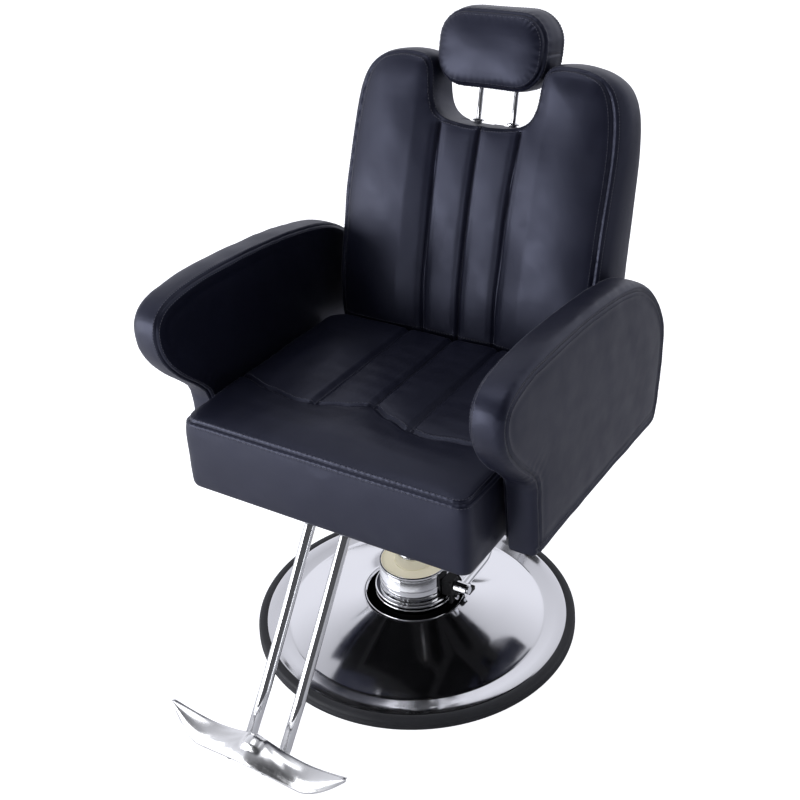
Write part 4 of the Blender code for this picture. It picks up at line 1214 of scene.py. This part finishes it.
def studio_world():
    """White to the camera; to all else a soft room, dark round the camera and bright behind the chair."""
    world = bpy.data.worlds.new("studio")
    world.use_nodes = True
    world.node_tree.nodes.clear()
    n = Nodes(world.node_tree, "Generated")
    white = n.add("ShaderNodeBackground")
    white.inputs["Color"].default_value = (1.0, 1.0, 1.0, 1.0)
    white.inputs["Strength"].default_value = 1.05
    toward = n.add("ShaderNodeVectorMath", operation="DOT_PRODUCT")
    toward.inputs[1].default_value = (sin(radians(33.0)), -cos(radians(33.0)), 0.0)
    n.link(n.coords, toward.inputs[0])
    split = n.add("ShaderNodeSeparateXYZ")
    n.link(n.coords, split.inputs["Vector"])
    dark = n.ranged(toward.outputs["Value"], -0.1, 0.6, 1.0, 0.1, "SMOOTHSTEP")
    high = n.ranged(split.outputs["Z"], 0.35, 0.95, 1.0, 0.5, "SMOOTHSTEP")
    room = n.add("ShaderNodeBackground")
    room.inputs["Color"].default_value = (0.91, 0.92, 1.0, 1.0)
    n.link(n.times(n.times(dark, high), 0.9), room.inputs["Strength"])
    mix = n.add("ShaderNodeMixShader")
    n.link(n.add("ShaderNodeLightPath").outputs["Is Camera Ray"], mix.inputs["Fac"])
    n.link(room.outputs["Background"], mix.inputs[1])
    n.link(white.outputs["Background"], mix.inputs[2])
    n.link(mix.outputs["Shader"], n.add("ShaderNodeOutputWorld").inputs["Surface"])
    bpy.context.scene.world = world


def studio_floor():
    """A plain pale floor, burnt out to white where the camera looks straight at it; to all other rays it
    glows in a painted pool of light towards the front left, which the chair reflects.
    """
    mesh = bpy.data.meshes.new("floor")
    mesh.from_pydata([(-14, -14, 0), (14, -14, 0), (14, 14, 0), (-14, 14, 0)], [], [(0, 1, 2, 3)])
    floor = placed("floor", mesh)
    n = Surface("pale_floor")
    n.finish((0.8, 0.8, 0.82), 0.8, specular=0.2)
    path = n.add("ShaderNodeLightPath")
    ahead = n.add("ShaderNodeVectorMath", operation="DOT_PRODUCT")
    ahead.inputs[1].default_value = (-0.6, -0.8, 0.0)
    n.link(n.coords, ahead.inputs[0])
    # Painted pool of light: the floor glows more towards the front left, seen only in reflections and
    # bounced light.
    painted_light_pool = n.ranged(ahead.outputs["Value"], 0.35, 1.8, 0.0, 0.75)
    glow = n.add("ShaderNodeMath", operation="MAXIMUM")
    n.link(path.outputs["Is Camera Ray"], glow.inputs[0])
    n.link(painted_light_pool, glow.inputs[1])
    n.shader.inputs["Emission Color"].default_value = (0.97, 0.98, 1.0, 1.0)
    n.link(glow.outputs["Value"], n.shader.inputs["Emission Strength"])
    mesh.materials.append(n.material)


def studio_lamps():
    for name, place, aim, size, radiance in (
        ("key", (-2.00, -2.6, 0.9), (0.0, 0.1, 0.6), (2.6, 1.5), 4.6),
        ("side", (2.9, 0.3, 1.5), (0.0, 0.0, 0.5), (1.0, 1.8), 0.6),
        ("top", (-0.5, -0.5, 3.4), (0.0, 0.0, 0.6), (1.5, 1.5), 1.6),
    ):
        light = bpy.data.lights.new(name, "AREA")
        light.shape = "RECTANGLE"
        light.size, light.size_y = size
        light.energy = radiance * pi * size[0] * size[1]
        light.color = (0.95, 0.96, 1.0)
        lamp = placed(name, light)
        lamp.location = place
        lamp.rotation_euler = (Vector(aim) - Vector(place)).to_track_quat("-Z", "Y").to_euler()


def studio():
    bpy.context.scene.view_settings.view_transform = "Standard"
    studio_world()
    studio_floor()
    studio_lamps()


def camera():
    """Front right, from above, with a slight roll."""
    data = bpy.data.cameras.new("camera")
    data.lens = 53.1
    data.sensor_width = 36.0
    data.clip_end = 60.0
    obj = placed("camera", data)
    azimuth, elevation, roll, distance = radians(33.04), radians(30.09), radians(-2.945), 2.0286
    target = Vector((-0.0131, 0.0, 0.4717))
    away = Vector((cos(elevation) * sin(azimuth), -cos(elevation) * cos(azimuth), sin(elevation)))
    right = Vector((cos(azimuth), sin(azimuth), 0.0))
    up = away.cross(right)
    tilted = cos(roll) * right + sin(roll) * up
    matrix = Matrix((tilted, away.cross(tilted), away)).transposed().to_4x4()
    matrix.translation = target + away * distance
    obj.matrix_world = matrix
    bpy.context.scene.camera = obj


dress_frame()
base_dish()
rubber_rim()
pump_visible()
footrest_tubes()
footplate()
posts()
seat_cushion()
back_cushion()
back_panel()
headrest()
arm_pads()
studio()
camera()
